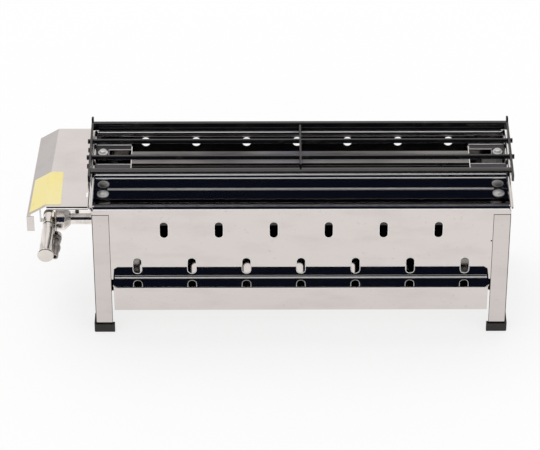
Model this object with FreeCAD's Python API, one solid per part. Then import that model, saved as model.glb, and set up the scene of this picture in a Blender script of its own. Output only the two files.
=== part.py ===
"""Table-top gas skewer grill in folded stainless sheet, one STEP file for each piece.

Drawing frame, in millimetres: X to the right, Y to the rear, Z up, with zero at the
middle of the body's floor plan. Each piece is moved at the end so that the part's own
origin lies on the floor under the middle of the whole outline.
"""
import FreeCAD
import Part

import math
import os

V = FreeCAD.Vector
X_DIR = V(1, 0, 0)
Y_DIR = V(0, 1, 0)
Z_DIR = V(0, 0, 1)

# Sides of what is round but drawn with flat sides, small, tapered or often repeated
FINE_SIDES = 32
COARSE_SIDES = 20

# Body
BODY_W = 560.0
BODY_D = 180.0
SHEET = 0.8
LEG_SHEET = 1.0
HALF_W = BODY_W / 2
HALF_D = BODY_D / 2
END_FACE = HALF_W - LEG_SHEET
END_INNER = END_FACE - SHEET
PANEL_FACE = HALF_D - LEG_SHEET
PANEL_INNER = PANEL_FACE - SHEET
END_BOTTOM = 36.5
FRONT_BOTTOM = 88.5

# Rolled rims
ROLL_R = 4.0
ROLL_Z = 206.3
FRONT_BAND_BOTTOM = 197.6
REAR_BAND_BOTTOM = 200.3
BAND_RISE = 0.8
END_CURL_R = 2.4
END_CURL_Z = 207.7

# Punched air slots
SLOT_SIZE = (11.2, 26.0)
SLOT_CHORDS = 8
UPPER_SLOTS = 6
UPPER_PITCH = 73.6
UPPER_SLOT_Z = 172.0
LOWER_SLOTS = 7
LOWER_PITCH = 73.7
LOWER_SLOT_Z = 111.7
REAR_SLOT_SIZE = (12.0, 15.0)
REAR_SLOTS = 7
REAR_PITCH = 69.6
REAR_SLOT_X = -4.0
REAR_SLOT_Z = 191.2
PILOT_HOLE = (255.5, 153.0)
PILOT_HOLE_W = 2.2

# Corner legs and rubber feet
LEG_WIDTH = 22.5
LEG_TOP = 197.2
LEG_BOTTOM = 4.0
FOOT_ARM_X = 28.0
FOOT_ARM_Y = 25.0
FOOT_T = 5.8
FOOT_H = 13.0
FOOT_PROUD = 2.4

# Front shelf and fire chamber
PARTITION_ROLL_Y = -14.5
PARTITION_ROLL_R = 3.9
PARTITION_ROLL_Z = 206.2
SHELF_TOP = 183.0
SHELF_FLANGE_TOP = 194.0
CHAMBER_WALL_BOTTOM = 72.0
CHAMBER_FLANGE_Y = -32.0
SHELF_SCREW_X = 268.0
SHELF_SCREW_Y = -22.0
SHELF_SCREW_W = 5.0
HOLE_GAP = 0.2

# Drip tray drawer
RAIL_TOP = 67.4
RAIL_WALL_TOP = 82.0
RAIL_INNER_X = 249.0
RAIL_SHEET = 1.2
RAIL_LIP_BOTTOM = 61.0
RAIL_FRONT = -86.0
RAIL_LENGTH = 170.0
TRAY_HALF_W = 247.0
TRAY_REAR = 78.0
TRAY_FLOOR = 38.0
TRAY_FLANGE_X = 255.0
TRAY_FLANGE_Z = 67.5
TRAY_FLANGE_Y = (-80.0, 69.0)
FRONT_HALF_W = 254.0
FRONT_BACK_FACE = -89.3
FRONT_WALL_BOTTOM = 36.5
LIP_TOP = 92.6
LIP_FRONT = -112.0
LIP_CHAMFER = 5.5

# Gas line
GAS_Y = 38.0
GAS_Z = 98.5
PIPE_R = 13.6
PIPE_WALL = 2.3
PIPE_LEFT = -262.0
PIPE_RIGHT = 256.0
BRACKET_WEB_X = 258.0
BRACKET_SHEET = 2.0
TAIL_STUD_R = 4.0
PORT_PAIRS = 9
PORT_SIZE = (18.0, 1.2)
PORT_LEAN = 20.0
PORT_MARGIN = 30.0
TUBE_R = 9.5
TUBE_WALL = 1.2
TUBE_END = -40.0
LOCK_SCREW_X = -308.6
LOCK_SCREW_W = 3.0
BELL_MOUTH_X = -336.5
BELL_R = 18.0
BELL_CYLINDER_END = -325.8
BELL_TAPER_END = -317.5
BELL_HUB_R = 6.6
SHUTTER_GAP = 0.4
SHUTTER_T = 1.0
SPIGOT_R = 6.0
SPIGOT_LENGTH = 7.0
WINDOWS = 3
WINDOW_ANGLE = 58.0
WINDOW_R = (8.2, 15.4)
VALVE_X = -348.0
VALVE_R = 7.5
VALVE_Y = (19.5, 48.0)
SPINDLE_R = 4.0
SPINDLE_REAR_Y = 46.0
INLET_X = -337.0
INLET_Z = 82.0
INLET_TIP_Y = -29.6
INLET_Y = (11.0, 28.5)
INLET_RIGHT = -338.6
INLET_BORE_R = 2.6
HOSE_R = 4.75
HOSE_SEAT = 9.6
BULB_R = 6.9
KNOB_FRONT_Y = -49.0
KNOB_REAR_Y = 18.0
KNOB_FACE_R = 11.2
RUNNING = 0.05

# Radiant hood over the burner
HOOD_Y = 38.0
HOOD_TOP = 200.6
HOOD_HALF_L = 230.0
HOOD_HALF_TOP = 16.8
HOOD_HALF_BOTTOM = 25.0
HOOD_BOTTOM = 150.0
HOOD_END_T = 1.2
STRAP_TOP = 201.4
STRAP_OFFSET = 22.6
STRAP_W = 11.0
STRAP_T = 1.2
HOOD_BOLT_X = 270.0
HOOD_BOLT_Y = 48.0
HOOD_BOLT_W = 5.0

# Grate
REAR_BAR_Y = (89.5, 95.5)
REAR_BAR_Z = (209.4, 221.0)
FRONT_BAR_Y = (-17.0, -6.0)
FRONT_BAR_Z = (210.2, 215.0)
ROD_R = 3.35
ROD_Z = 214.4
ROD_YS = (19.2, 56.8)
ROD_END = 290.5
FLAT_X = 285.5
FLAT_T = 3.0
FLAT_Z = (209.4, 219.4)
FLAT_FRONT = -30.7
FLAT_REAR = 103.0
STAY_T = 2.5
STAY_Z = (210.4, 219.5)

# Cock cover
COVER_LEFT = -367.5
COVER_RIGHT = -284.6
COVER_TOP = 207.0
COVER_REAR_Y = 97.5
COVER_FRONT_Y = -82.0
COVER_FOLD_REAR = -332.3
COVER_FOLD_FRONT = -341.3
COVER_SKIRT_REAR = -358.2
COVER_SKIRT_TOP = 190.5
COVER_SKIRT_BOTTOM = 166.0
COVER_TAB_W = 10.0
COVER_SCREW_Y = 79.0
COVER_SCREW_Z = 190.0
COVER_SCREW_W = 3.3
LABEL_T = 0.2
LABEL_GAP = 0.03
LABEL_RIGHT = -321.0
LABEL_REAR_Y = -4.0
LABEL_FRONT_Y = -78.4
LABEL_SLOPE_SHARE = 0.86

ORIGIN = V((COVER_LEFT + ROD_END) / 2, (LIP_FRONT + FLAT_REAR) / 2, 0)


def save(name, shape):
    """Write one piece in the part's own frame."""
    piece = shape.copy()
    piece.translate(-ORIGIN)
    piece.exportStep("parts/" + name + ".step")


def box(x_range, y_range, z_range):
    size = [b - a for a, b in (x_range, y_range, z_range)]
    return Part.makeBox(*size, V(x_range[0], y_range[0], z_range[0]))


def rod(start, direction, radius, length):
    return Part.makeCylinder(radius, length, start, direction)


def prism(corners, along):
    """A solid swept from the flat outline that corners give."""
    return Part.Face(Part.makePolygon(corners + [corners[0]])).extrude(along)


def ring(centre, axis, radius, sides):
    """Corners of a regular outline about axis."""
    side = Z_DIR if abs(axis.z) < 0.5 else X_DIR
    other = axis.cross(side)
    corners = []
    for i in range(sides):
        angle = 2 * math.pi * i / sides
        corners.append(centre + side * (radius * math.cos(angle)) + other * (radius * math.sin(angle)))
    return corners


def hexagon(start, direction, across_flats, length):
    """A hexagonal prism from start along direction."""
    return prism(ring(start, direction, across_flats / math.sqrt(3), 6), direction * length)


def tapered(profile, centre, axis, sides):
    """A solid with flat sides, from (distance, radius) points along axis."""
    rings = [ring(centre + axis * distance, axis, radius, sides) for distance, radius in profile]
    outlines = [rings[0], rings[-1]]
    for near, far in zip(rings, rings[1:]):
        for i in range(sides):
            outlines.append([near[i - 1], near[i], far[i], far[i - 1]])
    faces = [Part.Face(Part.makePolygon(outline + [outline[0]])) for outline in outlines]
    solid = Part.makeSolid(Part.makeShell(faces))
    return solid if solid.Volume > 0 else solid.reversed()


def many_sided(start, direction, radius, length, sides):
    """A disc or hole with flat sides that touch the true circle from outside."""
    return prism(ring(start, direction, radius / math.cos(math.pi / sides), sides), direction * length)


def turned(profile, centre, axis):
    """A solid turned about axis through centre, from (distance, radius) points."""
    side = Z_DIR if abs(axis.z) < 0.5 else X_DIR
    points = [centre + axis * d + side * r for d, r in profile]
    face = Part.Face(Part.makePolygon(points + [points[0]]))
    return face.revolve(centre, axis, 360)


def mirrored_x(shape):
    return shape.mirror(V(0, 0, 0), X_DIR)


def mirrored_y(shape):
    return shape.mirror(V(0, 0, 0), Y_DIR)


def sheet_face(points, thickness, radii, to_space):
    """The cut face of a sheet bent along the middle line given by points.

    radii holds the middle-line bend radius of each inner point, 0 for a sharp fold, and
    to_space turns a point of the section into space.
    """
    flat = [V(u, v, 0) for u, v in points]
    sides = {1: [], -1: []}
    current = {}
    first = (flat[1] - flat[0]).normalize()
    for s in sides:
        current[s] = flat[0] + V(-first.y, first.x, 0) * (s * thickness / 2)
    starts = dict(current)
    for i, radius in enumerate(radii, start=1):
        before = (flat[i] - flat[i - 1]).normalize()
        after = (flat[i + 1] - flat[i]).normalize()
        if radius == 0:
            normals = V(-before.y - after.y, before.x + after.x, 0)
            for s in sides:
                corner = flat[i] + normals * (s * thickness / 2 / (1 + before.dot(after)))
                sides[s].append(Part.LineSegment(to_space(current[s]), to_space(corner)))
                current[s] = corner
            continue
        turn = math.atan2(before.x * after.y - before.y * after.x, before.dot(after))
        reach = radius * math.tan(abs(turn) / 2)
        hand = 1 if turn > 0 else -1
        enter = flat[i] - before * reach
        leave = flat[i] + after * reach
        centre = enter + V(-before.y, before.x, 0) * (hand * radius)
        outward = (flat[i] - centre).normalize()
        for s in sides:
            bend = radius - s * hand * thickness / 2
            arc_start = centre + (enter - centre) * (bend / radius)
            arc_end = centre + (leave - centre) * (bend / radius)
            if (arc_start - current[s]).Length > 1e-5:
                sides[s].append(Part.LineSegment(to_space(current[s]), to_space(arc_start)))
            middle = centre + outward * bend
            sides[s].append(Part.Arc(to_space(arc_start), to_space(middle), to_space(arc_end)))
            current[s] = arc_end
    last = (flat[-1] - flat[-2]).normalize()
    for s in sides:
        end = flat[-1] + V(-last.y, last.x, 0) * (s * thickness / 2)
        if (end - current[s]).Length > 1e-5:
            sides[s].append(Part.LineSegment(to_space(current[s]), to_space(end)))
        current[s] = end
    caps = [
        Part.LineSegment(to_space(starts[1]), to_space(starts[-1])),
        Part.LineSegment(to_space(current[1]), to_space(current[-1])),
    ]
    edges = [curve.toShape() for curve in sides[1] + sides[-1] + caps]
    return Part.Wire(Part.__sortEdges__(edges))


def bent_sheet(axis, start, length, points, thickness, radii):
    """A folded sheet whose section is drawn across axis."""
    spaces = {
        "X": lambda p: V(start, p.x, p.y),
        "Y": lambda p: V(p.x, start, p.y),
        "Z": lambda p: V(p.x, p.y, start),
    }
    along = {"X": X_DIR, "Y": Y_DIR, "Z": Z_DIR}[axis]
    wire = sheet_face(points, thickness, radii, spaces[axis])
    return Part.Face(wire).extrude(along * length)


def slot_cutter(x, z, size, y_range):
    """An upright punch with rounded ends, through a wall that lies across Y."""
    half = size[0] / 2
    straight = (size[1] - size[0]) / 2
    corners = []
    for end in (1, -1):
        for i in range(SLOT_CHORDS + 1):
            angle = math.pi * i / SLOT_CHORDS
            across = end * half * math.cos(angle)
            up = end * (straight + half * math.sin(angle))
            corners.append(V(x + across, y_range[0], z + up))
    return prism(corners, V(0, y_range[1] - y_range[0], 0))


def slot_row(count, pitch, middle_x, z, size, y_range):
    """Punches for a row of slots."""
    first = middle_x - pitch * (count - 1) / 2
    return [slot_cutter(first + pitch * i, z, size, y_range) for i in range(count)]


def long_panel(bottom, band_bottom):
    """The front wall: flat sheet, proud folded band over the leg tops, rolled rim."""
    wall = -(PANEL_FACE - SHEET / 2)
    band = -(HALF_D - SHEET / 2)
    roll = ROLL_R - SHEET / 2
    roll_y = -(HALF_D - ROLL_R)
    outline = [
        (wall, bottom),
        (wall, band_bottom),
        (band, band_bottom + BAND_RISE),
        (band, ROLL_Z + roll),
        (roll_y + roll, ROLL_Z + roll),
        (roll_y + roll, ROLL_Z - roll),
        (roll_y, ROLL_Z - roll),
    ]
    sheet = bent_sheet("X", -END_INNER, 2 * END_INNER, outline, SHEET, [0, 0, roll, roll, roll])
    for side in (-1, 1):
        xs = sorted((side * (END_INNER - 1), side * HALF_W))
        ear = box(xs, (-HALF_D, -HALF_D + SHEET), (band_bottom + 1.5 * BAND_RISE, ROLL_Z - ROLL_R / 2))
        sheet = sheet.fuse(ear)
    return sheet.removeSplitter()


def front_panel():
    cut = (-HALF_D - 1, -PANEL_INNER + 1)
    slots = slot_row(UPPER_SLOTS, UPPER_PITCH, 0, UPPER_SLOT_Z, SLOT_SIZE, cut)
    slots += slot_row(LOWER_SLOTS, LOWER_PITCH, 0, LOWER_SLOT_Z, SLOT_SIZE, cut)
    pilot_hole = hexagon(V(PILOT_HOLE[0], cut[0], PILOT_HOLE[1]), Y_DIR, PILOT_HOLE_W, cut[1] - cut[0])
    return long_panel(FRONT_BOTTOM, FRONT_BAND_BOTTOM).cut(slots + [pilot_hole])


def rear_panel():
    """The rear wall: the front wall turned about, reaching lower, with its own slots."""
    panel = mirrored_y(long_panel(END_BOTTOM, REAR_BAND_BOTTOM))
    cut = (PANEL_INNER - 1, HALF_D + 1)
    slots = slot_row(REAR_SLOTS, REAR_PITCH, REAR_SLOT_X, REAR_SLOT_Z, REAR_SLOT_SIZE, cut)
    slots += slot_row(LOWER_SLOTS, LOWER_PITCH, 0, LOWER_SLOT_Z, SLOT_SIZE, cut)
    return panel.cut(slots)


def end_panel():
    """The right end wall, curled outwards at the top."""
    wall = END_FACE - SHEET / 2
    roll = END_CURL_R - SHEET / 2
    outline = [
        (wall, END_BOTTOM),
        (wall, END_CURL_Z + roll),
        (wall + 2 * roll, END_CURL_Z + roll),
        (wall + 2 * roll, END_CURL_Z - roll),
        (wall + roll, END_CURL_Z - roll),
    ]
    return bent_sheet("Y", -PANEL_INNER, 2 * PANEL_INNER, outline, SHEET, [roll, roll, roll])


def left_end_panel():
    hole = many_sided(V(-END_FACE - 1, GAS_Y, GAS_Z), X_DIR, TUBE_R + 0.8, 4, COARSE_SIDES)
    return mirrored_x(end_panel()).cut(hole)


def corner_leg():
    """The front right leg: an angle of sheet round the corner of the body."""
    x = HALF_W - LEG_SHEET / 2
    y = -HALF_D + LEG_SHEET / 2
    outline = [(HALF_W - LEG_WIDTH, y), (x, y), (x, -HALF_D + LEG_WIDTH)]
    return bent_sheet("Z", LEG_BOTTOM, LEG_TOP - LEG_BOTTOM, outline, LEG_SHEET, [1.2])


def foot():
    """The front right rubber shoe: an angle round the leg's end, which stands in its groove."""
    x_outer = HALF_W + FOOT_PROUD
    y_outer = -HALF_D - FOOT_PROUD
    block = box((x_outer - FOOT_ARM_X, x_outer), (y_outer, y_outer + FOOT_ARM_Y), (0, FOOT_H))
    corner = [e for e in block.Edges
              if abs(e.tangentAt(e.FirstParameter).z) > 0.9
              and e.CenterOfMass.x > x_outer - 1 and e.CenterOfMass.y < y_outer + 1]
    block = block.makeFillet(2.0, corner)
    inside = box((x_outer - FOOT_ARM_X - 1, x_outer - FOOT_T), (y_outer + FOOT_T, 0), (-1, FOOT_H + 1))
    grooves = [
        box((HALF_W - LEG_WIDTH, HALF_W), (-HALF_D, -HALF_D + LEG_SHEET), (LEG_BOTTOM, FOOT_H + 1)),
        box((HALF_W - LEG_SHEET, HALF_W), (-HALF_D, -HALF_D + LEG_WIDTH), (LEG_BOTTOM, FOOT_H + 1)),
        box((HALF_W - 2 * LEG_SHEET, HALF_W), (-HALF_D, -HALF_D + 2 * LEG_SHEET), (LEG_BOTTOM, FOOT_H + 1)),
    ]
    return block.cut([inside] + grooves)


def front_shelf():
    """Partition with a rolled top, folded forwards into the shelf behind the front wall."""
    roll = PARTITION_ROLL_R - SHEET / 2
    y = PARTITION_ROLL_Y
    low = PARTITION_ROLL_Z - roll
    high = PARTITION_ROLL_Z + roll
    shelf_z = SHELF_TOP - SHEET / 2
    flange_y = -PANEL_INNER + SHEET / 2
    outline = [
        (y, low),
        (y - roll, low),
        (y - roll, high),
        (y + roll, high),
        (y + roll, shelf_z),
        (flange_y, shelf_z),
        (flange_y, SHELF_FLANGE_TOP),
    ]
    sheet = bent_sheet("X", -END_INNER, 2 * END_INNER, outline, SHEET, [roll, roll, roll, 1.2, 0])
    return sheet.cut(shelf_screw_holes())


def chamber_front_wall():
    """The wall of the fire chamber, hung under the shelf by its top flange."""
    y = PARTITION_ROLL_Y + PARTITION_ROLL_R - SHEET / 2
    flange_z = SHELF_TOP - 1.5 * SHEET
    outline = [(CHAMBER_FLANGE_Y, flange_z), (y, flange_z), (y, CHAMBER_WALL_BOTTOM)]
    sheet = bent_sheet("X", -END_INNER, 2 * END_INNER, outline, SHEET, [0])
    notches = []
    for side in (-1, 1):
        xs = sorted((side * (END_INNER - RAIL_SHEET - 0.8), side * (END_INNER + 1)))
        notches.append(box(xs, (y - 2, y + 2), (CHAMBER_WALL_BOTTOM - 1, RAIL_WALL_TOP + 1)))
    return sheet.cut(shelf_screw_holes() + notches)


def shelf_screw_holes():
    """Six-sided holes, as the small hidden shanks have six sides too."""
    across = SHELF_SCREW_W + HOLE_GAP
    return [hexagon(V(s * SHELF_SCREW_X, SHELF_SCREW_Y, SHELF_TOP - 5), Z_DIR, across, 10) for s in (-1, 1)]


def shelf_screws():
    """Two round-headed screws on washers, with nuts below the flange."""
    pieces = []
    for side in (-1, 1):
        top = V(side * SHELF_SCREW_X, SHELF_SCREW_Y, SHELF_TOP)
        under = top - Z_DIR * (2 * SHEET)
        washer = many_sided(top, Z_DIR, 8.0, 1.0, COARSE_SIDES)
        head = many_sided(top + Z_DIR, Z_DIR, 5.6, 2.4, COARSE_SIDES)
        shank = hexagon(top - Z_DIR * 7, Z_DIR, SHELF_SCREW_W, 7)
        nut = hexagon(under - Z_DIR * 4, Z_DIR, 8, 4)
        pieces.append(washer.fuse([head, shank, nut]).removeSplitter())
    return Part.Compound(pieces)


def drawer_rail():
    """The right rail: an angle on the end wall with a stiffening lip."""
    wall = END_INNER - RAIL_SHEET / 2
    top = RAIL_TOP - RAIL_SHEET / 2
    lip = RAIL_INNER_X + RAIL_SHEET / 2
    outline = [(wall, RAIL_WALL_TOP), (wall, top), (lip, top), (lip, RAIL_LIP_BOTTOM)]
    return bent_sheet("Y", RAIL_FRONT, RAIL_LENGTH, outline, RAIL_SHEET, [0, 0])


def drip_tray():
    """Folded water pan with rounded corners and the two side flanges it slides on."""
    block = box((-TRAY_HALF_W, TRAY_HALF_W), (FRONT_BACK_FACE, TRAY_REAR), (TRAY_FLOOR, TRAY_FLANGE_Z + SHEET))
    upright = [e for e in block.Edges if abs(e.tangentAt(e.FirstParameter).z) > 0.9]
    block = block.makeFillet(8.0, upright)
    top = [f for f in block.Faces if f.CenterOfMass.z > TRAY_FLANGE_Z + SHEET - 0.01]
    pan = block.makeThickness(top, -SHEET, 1e-3)
    for side in (-1, 1):
        inner = side * (TRAY_HALF_W - SHEET / 2)
        outer = side * TRAY_FLANGE_X
        front, rear = TRAY_FLANGE_Y
        corners = [V(inner, front, TRAY_FLANGE_Z), V(outer - side * 5, front, TRAY_FLANGE_Z),
                   V(outer, front + 5, TRAY_FLANGE_Z), V(outer, rear - 5, TRAY_FLANGE_Z),
                   V(outer - side * 5, rear, TRAY_FLANGE_Z), V(inner, rear, TRAY_FLANGE_Z)]
        pan = pan.fuse(prism(corners, Z_DIR * SHEET))
    return pan.removeSplitter()


def tray_front():
    """The drawer's front: a wall with a pressed step, turned forwards into a hemmed pull."""
    wall = FRONT_BACK_FACE - SHEET / 2
    step = 0.5
    lip_z = LIP_TOP - SHEET / 2
    lip_y = LIP_FRONT + SHEET / 2
    hem = 0.8
    outline = [
        (wall, FRONT_WALL_BOTTOM),
        (wall, 59.4),
        (wall - step, 60.6),
        (wall - step, lip_z),
        (lip_y, lip_z),
        (lip_y, lip_z - 2 * hem),
        (LIP_FRONT + 8, lip_z - 2 * hem),
    ]
    front = bent_sheet("X", -FRONT_HALF_W, 2 * FRONT_HALF_W, outline, SHEET, [0, 0, 1.2, hem, hem])
    for side in (-1, 1):
        corner = V(side * FRONT_HALF_W, LIP_FRONT, LIP_TOP - 6)
        outer = [
            corner + V(side, -1, 0),
            corner + V(side, LIP_CHAMFER, 0),
            corner + V(0, LIP_CHAMFER, 0),
            corner + V(-side * LIP_CHAMFER, 0, 0),
            corner + V(-side * LIP_CHAMFER, -1, 0),
        ]
        front = front.cut(prism(outer, V(0, 0, 8)))
    return front


def burner_pipe():
    """The burner: a closed pipe with two rows of short slits for the flames along its crown."""
    length = PIPE_RIGHT - PIPE_LEFT
    bore = PIPE_R - PIPE_WALL
    pipe = turned([(0, TUBE_R), (0, PIPE_R), (length, PIPE_R), (length, 0), (length - 4, 0),
                   (length - 4, bore), (6, bore), (6, TUBE_R)],
                  V(PIPE_LEFT, GAS_Y, GAS_Z), X_DIR)
    pitch = (length - 2 * PORT_MARGIN) / (2 * PORT_PAIRS - 1)
    slits = []
    for i in range(2 * PORT_PAIRS):
        x = PIPE_LEFT + PORT_MARGIN + pitch * i
        slit = box((x - PORT_SIZE[0] / 2, x + PORT_SIZE[0] / 2),
                   (GAS_Y - PORT_SIZE[1] / 2, GAS_Y + PORT_SIZE[1] / 2), (GAS_Z + 9, GAS_Z + 15))
        slit.rotate(V(x, GAS_Y, GAS_Z), X_DIR, PORT_LEAN if i % 2 else -PORT_LEAN)
        slits.append(slit)
    return pipe.cut(slits)


def burner_bracket():
    """The folded bracket that carries the blind end of the burner on the right end wall."""
    wall = END_INNER - BRACKET_SHEET / 2
    web = BRACKET_WEB_X + BRACKET_SHEET / 2
    outline = [(wall, 84), (wall, 118), (web, 118), (web, 84)]
    folded = bent_sheet("Y", GAS_Y - 16, 32, outline, BRACKET_SHEET, [0, 0])
    hole = hexagon(V(BRACKET_WEB_X - 1, GAS_Y, GAS_Z), X_DIR, 2 * TAIL_STUD_R + HOLE_GAP, BRACKET_SHEET + 2)
    return folded.cut(hole)


def burner_tail_bolt():
    """Stud and nut that fix the burner's blind end to its bracket."""
    start = V(PIPE_RIGHT, GAS_Y, GAS_Z)
    spacer = hexagon(start, X_DIR, 13, BRACKET_WEB_X - PIPE_RIGHT)
    shank = hexagon(start, X_DIR, 2 * TAIL_STUD_R, 8)
    nut_x = BRACKET_WEB_X + BRACKET_SHEET
    nut = hexagon(V(nut_x, GAS_Y, GAS_Z), X_DIR, 13, 5)
    tip = many_sided(V(nut_x + 5, GAS_Y, GAS_Z), X_DIR, TAIL_STUD_R, 3, COARSE_SIDES)
    return spacer.fuse([shank, nut, tip]).removeSplitter()


def fan_windows(x_range):
    """Fan-shaped windows with straight edges, evenly spaced about the gas line."""
    inner, outer = WINDOW_R
    windows = []
    for i in range(WINDOWS):
        middle = 2 * math.pi * i / WINDOWS
        half = math.radians(WINDOW_ANGLE / 2)
        rim = [(middle + half * share, outer) for share in (-1, -0.5, 0, 0.5, 1)]
        hub = [(middle + half * share, inner) for share in (1, 0, -1)]
        corners = [V(x_range[0], GAS_Y + r * math.sin(a), GAS_Z + r * math.cos(a)) for a, r in rim + hub]
        windows.append(prism(corners, V(x_range[1] - x_range[0], 0, 0)))
    return windows


def mixing_tube():
    """The mixing tube: bell mouth with a windowed web, then a straight tube far into the burner."""
    wall = TUBE_WALL
    mouth = BELL_MOUTH_X
    profile = [
        (mouth, BELL_HUB_R), (mouth, BELL_R), (BELL_CYLINDER_END, BELL_R), (BELL_TAPER_END, TUBE_R),
        (TUBE_END, TUBE_R), (TUBE_END, TUBE_R - wall), (BELL_CYLINDER_END - wall, TUBE_R - wall),
        (BELL_CYLINDER_END - wall, BELL_R - wall), (mouth + wall, BELL_R - wall), (mouth + wall, BELL_HUB_R),
    ]
    tube = turned(profile, V(0, GAS_Y, GAS_Z), X_DIR)
    screw_hole = hexagon(V(LOCK_SCREW_X, GAS_Y, GAS_Z), Z_DIR, LOCK_SCREW_W + HOLE_GAP, 15)
    return tube.cut(fan_windows((mouth - 1, mouth + wall + 1)) + [screw_hole])


def tube_lock_screw():
    """Small round-headed screw on top of the mixing tube."""
    seat = V(LOCK_SCREW_X, GAS_Y, GAS_Z + TUBE_R)
    head = many_sided(seat + Z_DIR * 0.1, Z_DIR, 2.6, 2.6, COARSE_SIDES)
    return head.fuse(hexagon(seat - Z_DIR * 3, Z_DIR, LOCK_SCREW_W, 3.1)).removeSplitter()


def air_shutter():
    """The windowed disc that turns on the jet holder in front of the bell."""
    right = BELL_MOUTH_X - SHUTTER_GAP
    centre = V(right - SHUTTER_T, GAS_Y, GAS_Z)
    disc = many_sided(centre, X_DIR, BELL_R + 0.7, SHUTTER_T, 2 * COARSE_SIDES)
    bore = rod(centre - X_DIR, X_DIR, SPIGOT_R + RUNNING, SHUTTER_T + 2)
    return disc.cut([bore] + fan_windows((centre.x - 1, right + 1)))


def jet_holder():
    """Brass holder between valve and bell: hexagon, then the spigot the shutter turns on."""
    face = VALVE_X + VALVE_R
    hex_end = BELL_MOUTH_X - SHUTTER_GAP - SHUTTER_T - 0.1
    hexagon_part = hexagon(V(face, GAS_Y, GAS_Z), X_DIR, 16, hex_end - face)
    spigot = rod(V(hex_end, GAS_Y, GAS_Z), X_DIR, SPIGOT_R, SPIGOT_LENGTH)
    bore = hexagon(V(face - 1, GAS_Y, GAS_Z), X_DIR, 4.0, 30)
    return hexagon_part.fuse(spigot).cut(bore).removeSplitter()


def gas_jet():
    """The drilled brass jet that blows into the bell."""
    start = V(BELL_MOUTH_X - SHUTTER_GAP - SHUTTER_T - 0.1 + SPIGOT_LENGTH, GAS_Y, GAS_Z)
    nozzle = rod(start + X_DIR * 3, X_DIR, 2.4, 5)
    jet = hexagon(start, X_DIR, 8, 3).fuse(nozzle)
    return jet.cut(hexagon(start - X_DIR, X_DIR, 1.2, 10)).removeSplitter()


def valve_body():
    """Valve casting: a barrel about the spindle, a square outlet and a lobe for the inlet."""
    front, rear = VALVE_Y
    axis = V(VALVE_X, front, GAS_Z)
    barrel = rod(axis, Y_DIR, VALVE_R, rear - front)
    outlet = box((VALVE_X, VALVE_X + VALVE_R), (GAS_Y - 6, GAS_Y + 6), (GAS_Z - 6, GAS_Z + 6))
    inlet = many_sided(V(INLET_X, INLET_Y[0], INLET_Z), Y_DIR, VALVE_R, INLET_Y[1] - INLET_Y[0], COARSE_SIDES)
    low = V(INLET_X, front, INLET_Z)
    across = (low - axis).normalize().cross(Y_DIR) * VALVE_R
    web = prism([axis + across, low + across, low - across, axis - across], V(0, INLET_Y[1] - front, 0))
    room_for_shutter = box((INLET_RIGHT, INLET_X + 20), (front - 0.6, rear), (INLET_Z - 10, GAS_Z + 5))
    casting = barrel.fuse([inlet, web]).cut(room_for_shutter).fuse(outlet).removeSplitter()
    depth = SPINDLE_REAR_Y - front + 1
    return casting.cut(many_sided(axis - Y_DIR, Y_DIR, SPINDLE_R + RUNNING, depth, COARSE_SIDES))


def gland_nut():
    """Brass ring in front of the casting, which keeps the spindle in it."""
    front = KNOB_REAR_Y + 0.2
    nut = hexagon(V(VALVE_X, front, GAS_Z), Y_DIR, 13, VALVE_Y[0] - front)
    return nut.cut(many_sided(V(VALVE_X, front - 1, GAS_Z), Y_DIR, SPINDLE_R + RUNNING, 5, COARSE_SIDES))


def valve_spindle():
    """The spindle that the knob turns."""
    start = KNOB_REAR_Y - 16
    return rod(V(VALVE_X, start, GAS_Z), Y_DIR, SPINDLE_R, SPINDLE_REAR_Y - 0.5 - start)


def control_knob():
    """Turned knob: a stem that swells to the front and ends in a flat round face."""
    length = KNOB_REAR_Y - KNOB_FRONT_Y
    profile = [(0, KNOB_FACE_R - 0.7), (0.7, KNOB_FACE_R), (2.6, KNOB_FACE_R), (3.0, 9.4), (length, VALVE_R)]
    knob = tapered(profile, V(VALVE_X, KNOB_FRONT_Y, GAS_Z), Y_DIR, FINE_SIDES)
    return knob.cut(rod(V(VALVE_X, KNOB_REAR_Y - 16, GAS_Z), Y_DIR, SPINDLE_R, 20))


def hose_inlet():
    """Hose tail with the bulb that the hose is pushed over, bored through."""
    length = INLET_Y[0] - INLET_TIP_Y
    tip = V(INLET_X, INLET_TIP_Y, INLET_Z)
    seat = rod(tip, Y_DIR, HOSE_R, HOSE_SEAT)
    bulb_profile = [(HOSE_SEAT, HOSE_R), (18, BULB_R), (23, BULB_R), (26, 5.4), (length - 7, 5.4)]
    bulb = tapered(bulb_profile, tip, Y_DIR, COARSE_SIDES)
    collar = hexagon(tip + Y_DIR * (length - 7), Y_DIR, 13, 7)
    tail = seat.fuse([bulb, collar])
    return tail.cut(rod(tip - Y_DIR, Y_DIR, INLET_BORE_R, length + 2)).removeSplitter()


def valve_hanger():
    """The strip that hangs from the cover's skirt and steadies the valve."""
    strip_x = -359.7
    seat_z = 95.0
    outline = [(strip_x, 184), (strip_x, seat_z), (VALVE_X, seat_z)]
    strip = bent_sheet("Y", 33.0, 8.0, outline, 1.5, [0])
    return strip.cut(rod(V(VALVE_X, 30, GAS_Z), Y_DIR, VALVE_R, 14))


def hood_section():
    """Middle line of the hood's folded section: sides, stepped shoulders and flat top."""
    top = HOOD_TOP - SHEET / 2
    shoulder = top - 2.6
    half = [
        (HOOD_HALF_BOTTOM, HOOD_BOTTOM),
        (HOOD_HALF_TOP, shoulder),
        (HOOD_HALF_TOP - 3.2, shoulder),
        (HOOD_HALF_TOP - 3.2, top),
    ]
    left = [(HOOD_Y - y, z) for y, z in half]
    right = [(HOOD_Y + y, z) for y, z in reversed(half)]
    return left + right


def radiant_hood():
    outline = hood_section()
    return bent_sheet("X", -HOOD_HALF_L, 2 * HOOD_HALF_L, outline, SHEET, [0] * (len(outline) - 2))


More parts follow.
